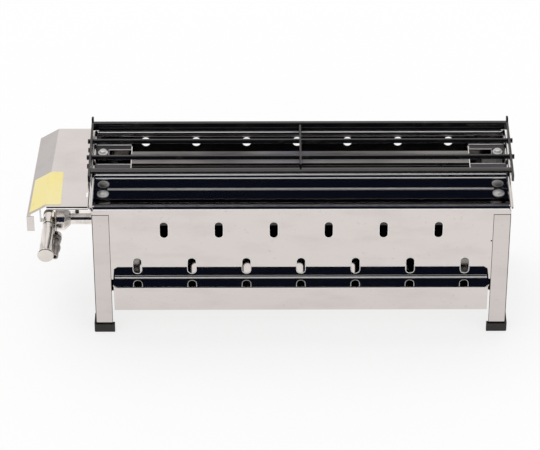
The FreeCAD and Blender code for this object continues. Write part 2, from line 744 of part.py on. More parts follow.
def hood_end_plate():
    """The right end plate, with an ear on each side for the straps."""
    ear = STRAP_OFFSET + STRAP_W / 2
    corners = [
        (-ear, STRAP_TOP), (ear, STRAP_TOP), (ear, 190.0), (HOOD_HALF_TOP + 2.5, 186.0),
        (HOOD_HALF_BOTTOM - 1, HOOD_BOTTOM), (-HOOD_HALF_BOTTOM + 1, HOOD_BOTTOM),
        (-HOOD_HALF_TOP - 2.5, 186.0), (-ear, 190.0),
    ]
    return prism([V(HOOD_HALF_L, HOOD_Y + y, z) for y, z in corners], X_DIR * HOOD_END_T)


def hood_bolt_hole(side):
    """Six-sided hole for a hood bolt, through strap and bracket."""
    start = V(side * HOOD_BOLT_X, HOOD_BOLT_Y, STRAP_TOP - 10)
    return hexagon(start, Z_DIR, HOOD_BOLT_W + HOLE_GAP, 20)


def hood_bracket():
    """The right bracket: an angle on the end wall that takes the rear strap."""
    thickness = 1.5
    wall = END_INNER - thickness / 2
    top = STRAP_TOP - STRAP_T - thickness / 2
    angle = bent_sheet("Y", 40, 30, [(wall, 184), (wall, top), (261, top)], thickness, [0])
    return angle.cut(hood_bolt_hole(1))


def hood_straps():
    """The two right straps: the rear one lies on the bracket, the front one on the wall."""
    half = STRAP_T / 2
    inner = HOOD_HALF_L + HOOD_END_T + half
    wall = END_INNER - half
    top = STRAP_TOP - half
    rear_y = HOOD_Y + STRAP_OFFSET
    front_y = HOOD_Y - STRAP_OFFSET
    down = 190.5
    strap = bent_sheet("Y", rear_y - STRAP_W / 2, STRAP_W, [(inner, down), (inner, top), (wall, top)], STRAP_T, [0])
    foot_plate = box((262, wall), (42, rear_y), (STRAP_TOP - STRAP_T, STRAP_TOP))
    rear = strap.fuse(foot_plate).cut(hood_bolt_hole(1)).removeSplitter()
    front_outline = [(inner, down), (inner, top), (wall, top), (wall, 188)]
    front = bent_sheet("Y", front_y - STRAP_W / 2, STRAP_W, front_outline, STRAP_T, [0, 0])
    return Part.Compound([rear, front])


def hood_bolt():
    """The right bolt and its nut through strap and bracket."""
    under = STRAP_TOP - STRAP_T - 1.5
    foot_point = V(HOOD_BOLT_X, HOOD_BOLT_Y, under)
    head = hexagon(foot_point - Z_DIR * 3.2, Z_DIR, 8.2, 3.2)
    shank = hexagon(foot_point, Z_DIR, HOOD_BOLT_W, STRAP_TOP + 5.6 - under)
    nut = hexagon(V(HOOD_BOLT_X, HOOD_BOLT_Y, STRAP_TOP), Z_DIR, 8.2, 3.6)
    return shank.fuse([nut, head]).removeSplitter()


def grate_end_flat(x):
    """A bar on edge outside the end wall, holed for the rods, its rear tip turned up."""
    bottom, top = FLAT_Z
    left = x - FLAT_T / 2
    points = [
        V(left, FLAT_FRONT, bottom), V(left, FLAT_REAR - 9, bottom), V(left, FLAT_REAR, bottom + 5),
        V(left, FLAT_REAR, top + 4), V(left, FLAT_REAR - 4, top + 4), V(left, FLAT_REAR - 9, top),
        V(left, FLAT_FRONT, top),
    ]
    bar = prism(points, X_DIR * FLAT_T)
    return bar.cut([many_sided(V(x - 5, y, ROD_Z), X_DIR, ROD_R, 10, COARSE_SIDES) for y in ROD_YS])


def grate_bar(y_range, z_range):
    """A bar between the end flats, its upper edges eased."""
    inner = FLAT_X - FLAT_T / 2
    bar = box((-inner, inner), y_range, z_range)
    upper = [e for e in bar.Edges
             if abs(e.tangentAt(e.FirstParameter).x) > 0.9 and e.CenterOfMass.z > z_range[0] + 1]
    return bar.makeFillet(1.0, upper)


def grate_rods():
    """Two round rods that run through the end bars and stand out at both ends."""
    return Part.Compound([rod(V(-ROD_END, y, ROD_Z), X_DIR, ROD_R, 2 * ROD_END) for y in ROD_YS])


def grate_centre_stay():
    """The thin bar across the middle, notched over the rods."""
    left = -STAY_T / 2
    bottom, top = STAY_Z
    front = FRONT_BAR_Y[1]
    rear = REAR_BAR_Y[0]
    points = [
        V(left, front, bottom), V(left, rear, bottom), V(left, rear, top),
        V(left, front + 2, top), V(left, front, FRONT_BAR_Z[1]),
    ]
    notches = [rod(V(-5, y, ROD_Z), X_DIR, ROD_R, 10) for y in ROD_YS]
    notches += [box((-5, 5), (y - ROD_R, y + ROD_R), (bottom - 1, ROD_Z)) for y in ROD_YS]
    return prism(points, X_DIR * STAY_T).cut(notches)


def cover_lines(y):
    """Places across X of the cover's top fold and of its skirt, at a depth y."""
    share = (COVER_REAR_Y - y) / (COVER_REAR_Y - COVER_FRONT_Y)
    fold = COVER_FOLD_REAR + (COVER_FOLD_FRONT - COVER_FOLD_REAR) * share
    skirt = COVER_SKIRT_REAR + (COVER_LEFT + SHEET / 2 - COVER_SKIRT_REAR) * share
    return fold, skirt


def lofted_sheet(rear, front, thickness, bends):
    """A folded sheet lofted between two sections, each given as (y, middle-line points)."""
    wires = []
    for y, points in (rear, front):
        wires.append(sheet_face(points, thickness, bends, lambda p, y=y: V(p.x, y, p.y)))
    return Part.makeLoft(wires, True, True)


def cock_cover():
    """Folded cover over the cock, a little wider at the front than at the rear."""
    top = COVER_TOP - SHEET / 2
    flange = -HALF_W - SHEET / 2
    sections = []
    for y in (COVER_REAR_Y, COVER_FRONT_Y):
        fold, skirt = cover_lines(y)
        sections.append((y, [
            (flange, 178), (flange, 199), (COVER_RIGHT, 203), (COVER_RIGHT, top),
            (fold, top), (skirt, COVER_SKIRT_TOP), (skirt, COVER_SKIRT_BOTTOM),
        ]))
    cover = lofted_sheet(sections[0], sections[1], SHEET, [0, 0, 1.0, 1.2, 1.2])
    front = (COVER_FRONT_Y, COVER_FRONT_Y + SHEET)
    tab = box((COVER_LEFT, COVER_LEFT + COVER_TAB_W), front, (COVER_SKIRT_BOTTOM, COVER_SKIRT_TOP - 0.4))
    lip = box((COVER_FOLD_FRONT + 0.5, COVER_RIGHT - 0.4), front, (COVER_TOP - 3, COVER_TOP - 0.3))
    hook_slot = box((-288.0, -286.0), (-61, -50), (200, 210))
    return cover.fuse([tab, lip]).cut(cover_screw_holes() + [hook_slot]).removeSplitter()


def cover_screws():
    """Two round-headed screws through the cover's flange, leg and end wall."""
    screws = []
    for side in (-1, 1):
        seat = V(-HALF_W - SHEET, side * COVER_SCREW_Y, COVER_SCREW_Z)
        head = many_sided(seat - X_DIR * 2, X_DIR, 3.1, 2, COARSE_SIDES)
        screws.append(head.fuse(hexagon(seat, X_DIR, COVER_SCREW_W, 6)).removeSplitter())
    return Part.Compound(screws)


def cover_screw_holes():
    """Six-sided holes for the two cover screws."""
    across = COVER_SCREW_W + HOLE_GAP
    return [hexagon(V(-290, s * COVER_SCREW_Y, COVER_SCREW_Z), X_DIR, across, 14) for s in (-1, 1)]


def blank_label():
    """The bare yellow label, bent over the cover's top fold."""
    lift = (SHEET + LABEL_T) / 2 + LABEL_GAP
    top = COVER_TOP - SHEET / 2
    sections = []
    for y in (LABEL_REAR_Y, LABEL_FRONT_Y):
        fold, skirt = cover_lines(y)
        slope = math.atan2(top - COVER_SKIRT_TOP, fold - skirt)
        low_x = fold + (skirt - fold) * LABEL_SLOPE_SHARE
        low_z = top + (COVER_SKIRT_TOP - top) * LABEL_SLOPE_SHARE
        sections.append((y, [
            (LABEL_RIGHT, top + lift),
            (fold - lift * math.tan(slope / 2), top + lift),
            (low_x - lift * math.sin(slope), low_z + lift * math.cos(slope)),
        ]))
    return lofted_sheet(sections[0], sections[1], LABEL_T, [1.2 + lift])


def pieces():
    """Every piece by name."""
    right_leg = corner_leg()
    screw_holes = cover_screw_holes()
    built = {
        "front_panel": front_panel(),
        "rear_panel": rear_panel(),
        "left_end_panel": left_end_panel().cut(screw_holes),
        "right_end_panel": end_panel(),
        "leg_front_right": right_leg,
        "leg_rear_right": mirrored_y(right_leg),
        "leg_front_left": mirrored_x(right_leg).cut(screw_holes),
        "leg_rear_left": mirrored_x(mirrored_y(right_leg)).cut(screw_holes),
        "front_shelf": front_shelf(),
        "chamber_front_wall": chamber_front_wall(),
        "shelf_screws": shelf_screws(),
        "drawer_rail_right": drawer_rail(),
        "drawer_rail_left": mirrored_x(drawer_rail()),
        "drip_tray": drip_tray(),
        "tray_front": tray_front(),
        "burner_pipe": burner_pipe(),
        "burner_bracket": burner_bracket(),
        "burner_tail_bolt": burner_tail_bolt(),
        "mixing_tube": mixing_tube(),
        "tube_lock_screw": tube_lock_screw(),
        "air_shutter": air_shutter(),
        "jet_holder": jet_holder(),
        "gas_jet": gas_jet(),
        "valve_body": valve_body(),
        "gland_nut": gland_nut(),
        "valve_spindle": valve_spindle(),
        "control_knob": control_knob(),
        "hose_inlet": hose_inlet(),
        "valve_hanger": valve_hanger(),
        "radiant_hood": radiant_hood(),
        "hood_end_right": hood_end_plate(),
        "hood_end_left": mirrored_x(hood_end_plate()),
        "hood_bracket_right": hood_bracket(),
        "hood_bracket_left": mirrored_x(hood_bracket()),
        "hood_straps_right": hood_straps(),
        "hood_straps_left": mirrored_x(hood_straps()),
        "hood_bolts": Part.Compound([hood_bolt(), mirrored_x(hood_bolt())]),
        "grate_end_flats": Part.Compound([grate_end_flat(-FLAT_X), grate_end_flat(FLAT_X)]),
        "grate_rear_bar": grate_bar(REAR_BAR_Y, REAR_BAR_Z),
        "grate_front_bar": grate_bar(FRONT_BAR_Y, FRONT_BAR_Z),
        "grate_rods": grate_rods(),
        "grate_centre_stay": grate_centre_stay(),
        "cock_cover": cock_cover(),
        "cover_screws": cover_screws(),
        "blank_label": blank_label(),
    }
    right_foot = foot()
    built["foot_front_right"] = right_foot
    built["foot_rear_right"] = mirrored_y(right_foot)
    built["foot_front_left"] = mirrored_x(right_foot)
    built["foot_rear_left"] = mirrored_x(mirrored_y(right_foot))
    return built


def main():
    os.makedirs("parts", exist_ok=True)
    for name, shape in pieces().items():
        save(name, shape)


main()
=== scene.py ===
"""Looks of the table-top gas skewer grill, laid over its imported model.

Every length is in metres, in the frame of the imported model: X to the right, Y to the
rear, Z up, with zero on the floor under the middle of the whole grill. Each sub-assembly
is a class that dresses its own nodes and adds the fine pieces that the solids leave out.
"""

import logging
import math
from collections.abc import Sequence
from dataclasses import dataclass
from enum import Enum

import bmesh
import bpy
from mathutils import Matrix, Vector, noise


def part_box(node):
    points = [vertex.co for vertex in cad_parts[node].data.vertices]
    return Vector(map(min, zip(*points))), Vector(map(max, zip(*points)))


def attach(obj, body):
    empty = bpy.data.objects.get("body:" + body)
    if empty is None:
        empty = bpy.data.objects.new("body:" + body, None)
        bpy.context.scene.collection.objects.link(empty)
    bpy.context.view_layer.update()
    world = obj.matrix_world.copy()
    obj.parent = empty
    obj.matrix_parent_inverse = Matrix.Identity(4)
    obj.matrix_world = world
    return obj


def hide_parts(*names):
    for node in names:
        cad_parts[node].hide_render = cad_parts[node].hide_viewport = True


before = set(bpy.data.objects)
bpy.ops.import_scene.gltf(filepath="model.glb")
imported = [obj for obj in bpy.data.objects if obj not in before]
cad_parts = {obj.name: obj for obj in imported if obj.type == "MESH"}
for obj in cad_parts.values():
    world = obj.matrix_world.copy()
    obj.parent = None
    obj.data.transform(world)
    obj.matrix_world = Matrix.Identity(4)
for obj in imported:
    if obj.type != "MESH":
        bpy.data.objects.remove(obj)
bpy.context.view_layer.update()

MM = 0.001
TURN = 2 * math.pi
SMOOTH_LIMIT = math.radians(38)
X_AXIS = Vector((1, 0, 0))
Y_AXIS = Vector((0, 1, 0))
Z_AXIS = Vector((0, 0, 1))
WHITE = (1.0, 1.0, 1.0)
SQUARE = ((-1, -1), (1, -1), (1, 1), (-1, 1))

Colour = tuple[float, float, float]
Point = tuple[float, float]
Span = tuple[float, float]
Size = tuple[float, float, float]
Socket = bpy.types.NodeSocket

log = logging.getLogger("grill")


class Body(Enum):
    """The bodies that the added pieces ride on."""

    BODY = "body"
    TRAY = "tray"
    KNOB = "knob"
    GRATE = "grate"


class Slot(Enum):
    """The finishes that the grill is made in, by the names of the record's slots."""

    POLISHED = "polished_stainless"
    HEATED = "heated_stainless"
    ENAMEL = "black_enamel"
    RUBBER = "black_rubber"
    ZINC = "zinc_plated_steel"
    TUBE = "plated_tube"
    SCREW = "black_screw"
    BRASS = "brass"
    CHROME = "chrome_plate"
    NICKEL = "dark_nickel"
    LABEL = "yellow_label"


class Shade(Enum):
    """Variants of a slot's finish for single pieces and fine details; several paint light or shade onto the
    surface.
    """

    LEG = "leg_stainless"
    # Near-white and nearly matt: painted highlight lines on edges, folds, hems and burrs.
    PAINTED_HIGHLIGHT = "painted_highlight"
    # Near-black: painted shade along seams, on the rear rim and in the upper slots, and a painted shadow line
    # under the cock cover.
    PAINTED_SHADE = "painted_shade"
    SCORCHED = "scorched_stainless"
    # Brass darkened as painted shade under the cock cover.
    BRASS_PAINTED_SHADE = "brass_painted_shade"
    # Zinc made paler and less metallic: partly its pale plating, partly painted light on screw heads, nuts
    # and bolts.
    ZINC_PAINTED_LIGHT = "zinc_painted_light"
    # Dark grey: painted shade that dims the highlight on the front rim's crown.
    PAINTED_GREY_SHADE = "painted_grey_shade"


@dataclass(frozen=True)
class Noise:
    """Soft noise: its lumps to the metre, its finer octaves and its squeeze along each axis."""

    scale: float
    octaves: float
    stretch: Size = (1.0, 1.0, 1.0)


@dataclass(frozen=True)
class Relief:
    """A fine relief that bends the light: the noise that gives its height, and its depth."""

    source: Noise
    depth: float


@dataclass(frozen=True)
class Spread:
    """A value that goes from low to high as a noise goes from start to stop."""

    source: Noise
    low: float
    high: float
    start: float = 0.3
    stop: float = 0.7


class Tree:
    """The node tree of a material or the world, with short ways to add nodes and join them."""

    # The colour mixer's sockets by number: share, first and second colour, then the result.
    mix_inputs = (0, 6, 7)
    mix_output = 2

    def __init__(self, owner: bpy.types.Material | bpy.types.World) -> None:
        """Start an empty node tree.

        Args:
            owner: the material or the world that it belongs to.
        """
        owner.use_nodes = True
        self.owner = owner
        self.tree = owner.node_tree
        self.tree.nodes.clear()
        self.places = self.add("ShaderNodeTexCoord").outputs
        self.clouds: dict[Noise, Socket] = {}

    def add(self, kind: str, *values: object, **named: object) -> bpy.types.Node:
        """Add a node.

        Args:
            kind: the node's type.
            *values: values or links for its first inputs, in order.
            **named: values or links for inputs by name, with _ for a space.

        Returns:
            The new node.
        """
        node = self.tree.nodes.new(kind)
        for index, value in enumerate(values):
            self.feed(node.inputs[index], value)
        for name, value in named.items():
            self.feed(node.inputs[name.replace("_", " ")], value)
        return node

    def feed(self, socket: Socket, value: object) -> None:
        """Set one input of a node.

        Args:
            socket: the input.
            value: a number, a colour or another node's output.
        """
        if isinstance(value, Socket):
            self.tree.links.new(value, socket)
        elif socket.type == "RGBA":
            socket.default_value = (*value, 1.0)
        else:
            socket.default_value = value

    def cloud(self, source: Noise) -> Socket:
        """Soft noise over the object, made once for each kind.

        Args:
            source: the kind of noise.

        Returns:
            A value from 0 to 1.
        """
        if source not in self.clouds:
            squeezed = self.add("ShaderNodeMapping", Vector=self.places["Object"], Scale=source.stretch)
            node = self.add("ShaderNodeTexNoise", Vector=squeezed.outputs["Vector"], Scale=source.scale,
                            Detail=source.octaves)
            self.clouds[source] = node.outputs["Fac"]
        return self.clouds[source]

    def spread(self, kind: Spread) -> Socket:
        """A value that varies over the object as a spread says."""
        return self.between(self.cloud(kind.source), kind.start, kind.stop, kind.low, kind.high)

    def between(self, value: Socket, start: float, stop: float, low: float = 0.0, high: float = 1.0,
                smooth: bool = False) -> Socket:
        """Take a value from low to high as it goes from start to stop.

        Args:
            value: the value.
            start: where it leaves low.
            stop: where it reaches high.
            low: the result up to start.
            high: the result from stop on.
            smooth: whether it eases in and out, and not evenly.

        Returns:
            The result.
        """
        node = self.add("ShaderNodeMapRange", value, start, stop, low, high)
        node.interpolation_type = "SMOOTHSTEP" if smooth else "LINEAR"
        return node.outputs["Result"]

    def maths(self, operation: str, *values: object) -> Socket:
        """Work out one number.

        Args:
            operation: what is done.
            *values: the numbers or outputs that it is done with.

        Returns:
            The result.
        """
        node = self.add("ShaderNodeMath", *values)
        node.operation = operation
        return node.outputs[0]

    def blended(self, share: Socket, first: object, second: object) -> Socket:
        """Mix two colours.

        Args:
            share: 0 for the first colour, 1 for the second.
            first: a colour or a colour output.
            second: a colour or a colour output.

        Returns:
            The mixed colour.
        """
        node = self.add("ShaderNodeMix")
        node.data_type = "RGBA"
        for index, value in zip(self.mix_inputs, (share, first, second)):
            self.feed(node.inputs[index], value)
        return node.outputs[self.mix_output]

    def relief(self, kind: Relief, under: Socket | None) -> Socket:
        """Bend the light by a relief.

        Args:
            kind: the relief.
            under: the normal of a coarser relief below it.

        Returns:
            The bent normal.
        """
        node = self.add("ShaderNodeBump", Height=self.cloud(kind.source), Distance=kind.depth)
        if under is not None:
            self.feed(node.inputs["Normal"], under)
        return node.outputs["Normal"]


@dataclass(frozen=True)
class Finish:
    """A surface finish, from its bare tone up to its stains, its gloss and its reliefs."""

    tone: Colour
    stains: tuple[tuple[Colour, Spread], ...]
    roughness: Spread
    reliefs: tuple[Relief, ...]
    metallic: float = 0.0
    refraction: float = 1.5

    def build(self, name: str) -> bpy.types.Material:
        """Make the material.

        Args:
            name: the material's name.

        Returns:
            The material.
        """
        tree = Tree(bpy.data.materials.new(name))
        colour = self.tone
        for tone, strength in self.stains:
            colour = tree.blended(tree.spread(strength), colour, tone)
        normal = None
        for kind in self.reliefs:
            normal = tree.relief(kind, normal)
        surface = tree.add("ShaderNodeBsdfPrincipled", Base_Color=colour, Metallic=self.metallic,
                           Roughness=tree.spread(self.roughness), IOR=self.refraction, Normal=normal)
        tree.add("ShaderNodeOutputMaterial", Surface=surface.outputs["BSDF"])
        return tree.owner


@dataclass(frozen=True)
class BrightSteel:
    """Rolled stainless sheet, nearly a mirror, with faint waves, smears and fine scratches."""

    tone: Colour = (0.655, 0.645, 0.64)
    smeared_tone: Colour = (0.61, 0.60, 0.595)
    spot_tone: Colour = (0.52, 0.51, 0.50)
    smears: Noise = Noise(26.0, 3.0, (0.6, 1.0, 1.6))
    spots: Noise = Noise(160.0, 2.0)
    waves: Relief = Relief(Noise(9.0, 1.0), 0.12 * MM)
    scratches: Relief = Relief(Noise(700.0, 2.0, (0.02, 1.0, 1.0)), 0.0016 * MM)

    def finish(self) -> Finish:
        """Lay up the finish."""
        stains = ((self.smeared_tone, Spread(self.smears, 0.0, 1.0, 0.46, 0.72)),
                  (self.spot_tone, Spread(self.spots, 0.0, 0.5, 0.66, 0.78)))
        return Finish(self.tone, stains, Spread(self.smears, 0.035, 0.10, 0.4, 0.8),
                      (self.waves, self.scratches), metallic=1.0)


@dataclass(frozen=True)
class HeatedSteel:
    """Stainless that the flames have dulled, grey with straw and blue stains."""

    tone: Colour = (0.25, 0.25, 0.25)
    dark_tone: Colour = (0.13, 0.125, 0.125)
    straw: Colour = (0.30, 0.23, 0.15)
    blue: Colour = (0.12, 0.13, 0.20)
    soot: Noise = Noise(22.0, 4.0, (0.35, 1.0, 1.0))
    tint: Noise = Noise(9.0, 2.0, (0.5, 1.0, 1.0))
    waves: Relief = Relief(Noise(30.0, 2.0), 0.16 * MM)
    grain: Relief = Relief(Noise(420.0, 2.0, (0.05, 1.0, 1.0)), 0.004 * MM)

    def finish(self) -> Finish:
        """Lay up the finish."""
        stains = ((self.dark_tone, Spread(self.soot, 0.0, 1.0, 0.42, 0.68)),
                  (self.straw, Spread(self.tint, 0.0, 0.5, 0.55, 0.7)),
                  (self.blue, Spread(self.tint, 0.45, 0.0, 0.3, 0.44)))
        return Finish(self.tone, stains, Spread(self.soot, 0.24, 0.42), (self.waves, self.grain),
                      metallic=1.0)


@dataclass(frozen=True)
class Enamel:
    """Fired black enamel with a slight orange peel and thin grey scuffs."""

    tone: Colour = (0.006, 0.006, 0.0075)
    scuffed_tone: Colour = (0.045, 0.043, 0.042)
    wear: Noise = Noise(60.0, 4.0)
    peel: Relief = Relief(Noise(260.0, 2.0), 0.05 * MM)
    dust: Relief = Relief(Noise(900.0, 2.0), 0.006 * MM)
    refraction: float = 1.6

    def finish(self) -> Finish:
        """Lay up the finish."""
        scuffs = ((self.scuffed_tone, Spread(self.wear, 0.0, 0.8, 0.6, 0.8)),)
        return Finish(self.tone, scuffs, Spread(self.wear, 0.09, 0.3, 0.4, 0.8), (self.peel, self.dust),
                      refraction=self.refraction)


@dataclass(frozen=True)
class Rubber:
    """Moulded black rubber with a fine matt grain."""

    tone: Colour = (0.012, 0.012, 0.012)
    worn_tone: Colour = (0.035, 0.034, 0.033)
    dust: Noise = Noise(120.0, 4.0)
    grain: Relief = Relief(Noise(1500.0, 2.0), 0.05 * MM)

    def finish(self) -> Finish:
        """Lay up the finish."""
        wear = ((self.worn_tone, Spread(self.dust, 0.0, 1.0, 0.45, 0.75)),)
        return Finish(self.tone, wear, Spread(self.dust, 0.48, 0.72), (self.grain,))


@dataclass(frozen=True)
class Plating:
    """A plated or bare turned metal: its tone, how blotched it is and how it shines."""

    tone: Colour
    blotch_tone: Colour
    roughness: float
    blotch_roughness: float
    blotches: Noise = Noise(150.0, 3.0)
    grain: Relief = Relief(Noise(1800.0, 2.0, (1.0, 0.08, 1.0)), 0.004 * MM)
    metallic: float = 1.0

    def finish(self) -> Finish:
        """Lay up the finish."""
        stains = ((self.blotch_tone, Spread(self.blotches, 0.0, 1.0, 0.4, 0.66)),)
        return Finish(self.tone, stains, Spread(self.blotches, self.roughness, self.blotch_roughness),
                      (self.grain,), self.metallic)


@dataclass(frozen=True)
class YellowFilm:
    """Bare yellow film label: satin, a little faded and dirty."""

    tone: Colour = (0.92, 0.79, 0.30)
    faded_tone: Colour = (0.90, 0.80, 0.42)
    smudge: Colour = (0.66, 0.55, 0.24)
    fade: Noise = Noise(20.0, 2.0)
    dirt: Noise = Noise(110.0, 5.0)
    ripples: Relief = Relief(Noise(45.0, 1.0), 0.08 * MM)
    grain: Relief = Relief(Noise(2400.0, 1.0), 0.006 * MM)

    def finish(self) -> Finish:
        """Lay up the finish."""
        stains = ((self.faded_tone, Spread(self.fade, 0.0, 1.0)),
                  (self.smudge, Spread(self.dirt, 0.0, 0.5, 0.62, 0.8)))
        return Finish(self.tone, stains, Spread(self.dirt, 0.34, 0.6, 0.4, 0.8), (self.ripples, self.grain))


class Finishes:
    """Every finish of the grill, made once and handed out by slot."""

    def __init__(self) -> None:
        """Make the materials."""
        recipes = {
            Slot.POLISHED: BrightSteel(),
            Slot.HEATED: HeatedSteel(),
            Slot.ENAMEL: Enamel(),
            Slot.RUBBER: Rubber(),
            Slot.ZINC: Plating((0.90, 0.89, 0.87), (0.70, 0.68, 0.65), 0.26, 0.42, metallic=0.45),
            Slot.TUBE: Plating((0.86, 0.85, 0.84), (0.68, 0.67, 0.655), 0.12, 0.26, Noise(90.0, 3.0)),
            Slot.SCREW: Plating((0.05, 0.05, 0.052), (0.09, 0.085, 0.08), 0.25, 0.4),
            Slot.BRASS: Plating((0.60, 0.42, 0.20), (0.36, 0.25, 0.13), 0.2, 0.4),
            Slot.CHROME: Plating((0.72, 0.715, 0.69), (0.66, 0.655, 0.635), 0.05, 0.12, Noise(60.0, 3.0)),
            Slot.NICKEL: Plating((0.46, 0.44, 0.42), (0.28, 0.27, 0.26), 0.34, 0.46,
                                 Noise(110.0, 3.0, (1.0, 0.12, 1.0))),
            Slot.LABEL: YellowFilm(),
            Shade.LEG: BrightSteel((0.605, 0.595, 0.59), (0.57, 0.56, 0.555)),
            # Painted highlight: near-white and nearly matt, so it shows bright even in shade.
            Shade.PAINTED_HIGHLIGHT: Plating((0.98, 0.97, 0.95), (0.90, 0.89, 0.87), 0.3, 0.5, metallic=0.05),
            # Partly the pale plating, partly painted light: a paler, less metallic copy of the zinc.
            Shade.ZINC_PAINTED_LIGHT: Plating((0.97, 0.96, 0.94), (0.78, 0.77, 0.75), 0.24, 0.4, metallic=0.2),
            # Painted shade: a dark grey band that dims a rim's crown highlight.
            Shade.PAINTED_GREY_SHADE: Plating((0.085, 0.082, 0.092), (0.05, 0.05, 0.056), 0.38, 0.5, metallic=0.3),
            # Painted shade: near-black lines and sheets where shade falls.
            Shade.PAINTED_SHADE: Plating((0.02, 0.02, 0.022), (0.05, 0.048, 0.046), 0.45, 0.6, metallic=0.0),
            Shade.SCORCHED: HeatedSteel((0.075, 0.075, 0.085), (0.035, 0.035, 0.04), (0.10, 0.08, 0.06),
                                        (0.04, 0.045, 0.09)),
            # Painted shade: brass darkened for the shade under the cock cover.
            Shade.BRASS_PAINTED_SHADE: Plating((0.10, 0.075, 0.05), (0.035, 0.028, 0.02), 0.3, 0.5),
        }
        self.materials = {choice: recipe.finish().build(choice.value) for choice, recipe in recipes.items()}

    def coat(self, piece: bpy.types.Object, choice: Slot | Shade) -> None:
        """Give a piece one finish all over."""
        piece.data.materials.clear()
        piece.data.materials.append(self.materials[choice])

    def dress(self, choice: Slot | Shade, *nodes: str) -> None:
        """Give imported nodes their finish.

        Args:
            choice: the finish.
            *nodes: the nodes' names.
        """
        for name in nodes:
            self.coat(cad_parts[name], choice)
            log.info("dressed %s in %s", name, choice.value)


def linked(name: str, data: bpy.types.ID) -> bpy.types.Object:
    """Put data into the scene.

    Args:
        name: the object's name.
        data: its mesh, lamp or lens.

    Returns:
        The new object.
    """
    placed = bpy.data.objects.new(name, data)
    bpy.context.scene.collection.objects.link(placed)
    return placed


def in_mm(*points: Point) -> list[Point]:
    """Points that are written in millimetres, in metres."""
    return [(u * MM, v * MM) for u, v in points]


def across(axis: Vector) -> tuple[Vector, Vector]:
    """Two directions that are square to an axis and to each other."""
    side = axis.orthogonal().normalized()
    return side, axis.cross(side).normalized()


def spokes(side: Vector, other: Vector, count: int) -> list[Vector]:
    """Directions spread evenly round the axis that side and other are square to."""
    angles = [TURN * k / count for k in range(count)]
    return [side * math.cos(angle) + other * math.sin(angle) for angle in angles]


def arc_points(centre: Point, radius: float, start: float, stop: float, steps: int) -> list[Point]:
    """Points on an arc.

    Args:
        centre: its centre.
        radius: its radius.
        start: the first angle in degrees.
        stop: the last angle in degrees.
        steps: how many parts it is divided into.

    Returns:
        The points from start to stop.
    """
    angles = [math.radians(start + (stop - start) * i / steps) for i in range(steps + 1)]
    return [(centre[0] + radius * math.cos(angle), centre[1] + radius * math.sin(angle)) for angle in angles]


def middle_of(node: str) -> Vector:
    """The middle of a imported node's box."""
    low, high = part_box(node)
    return (low + high) / 2


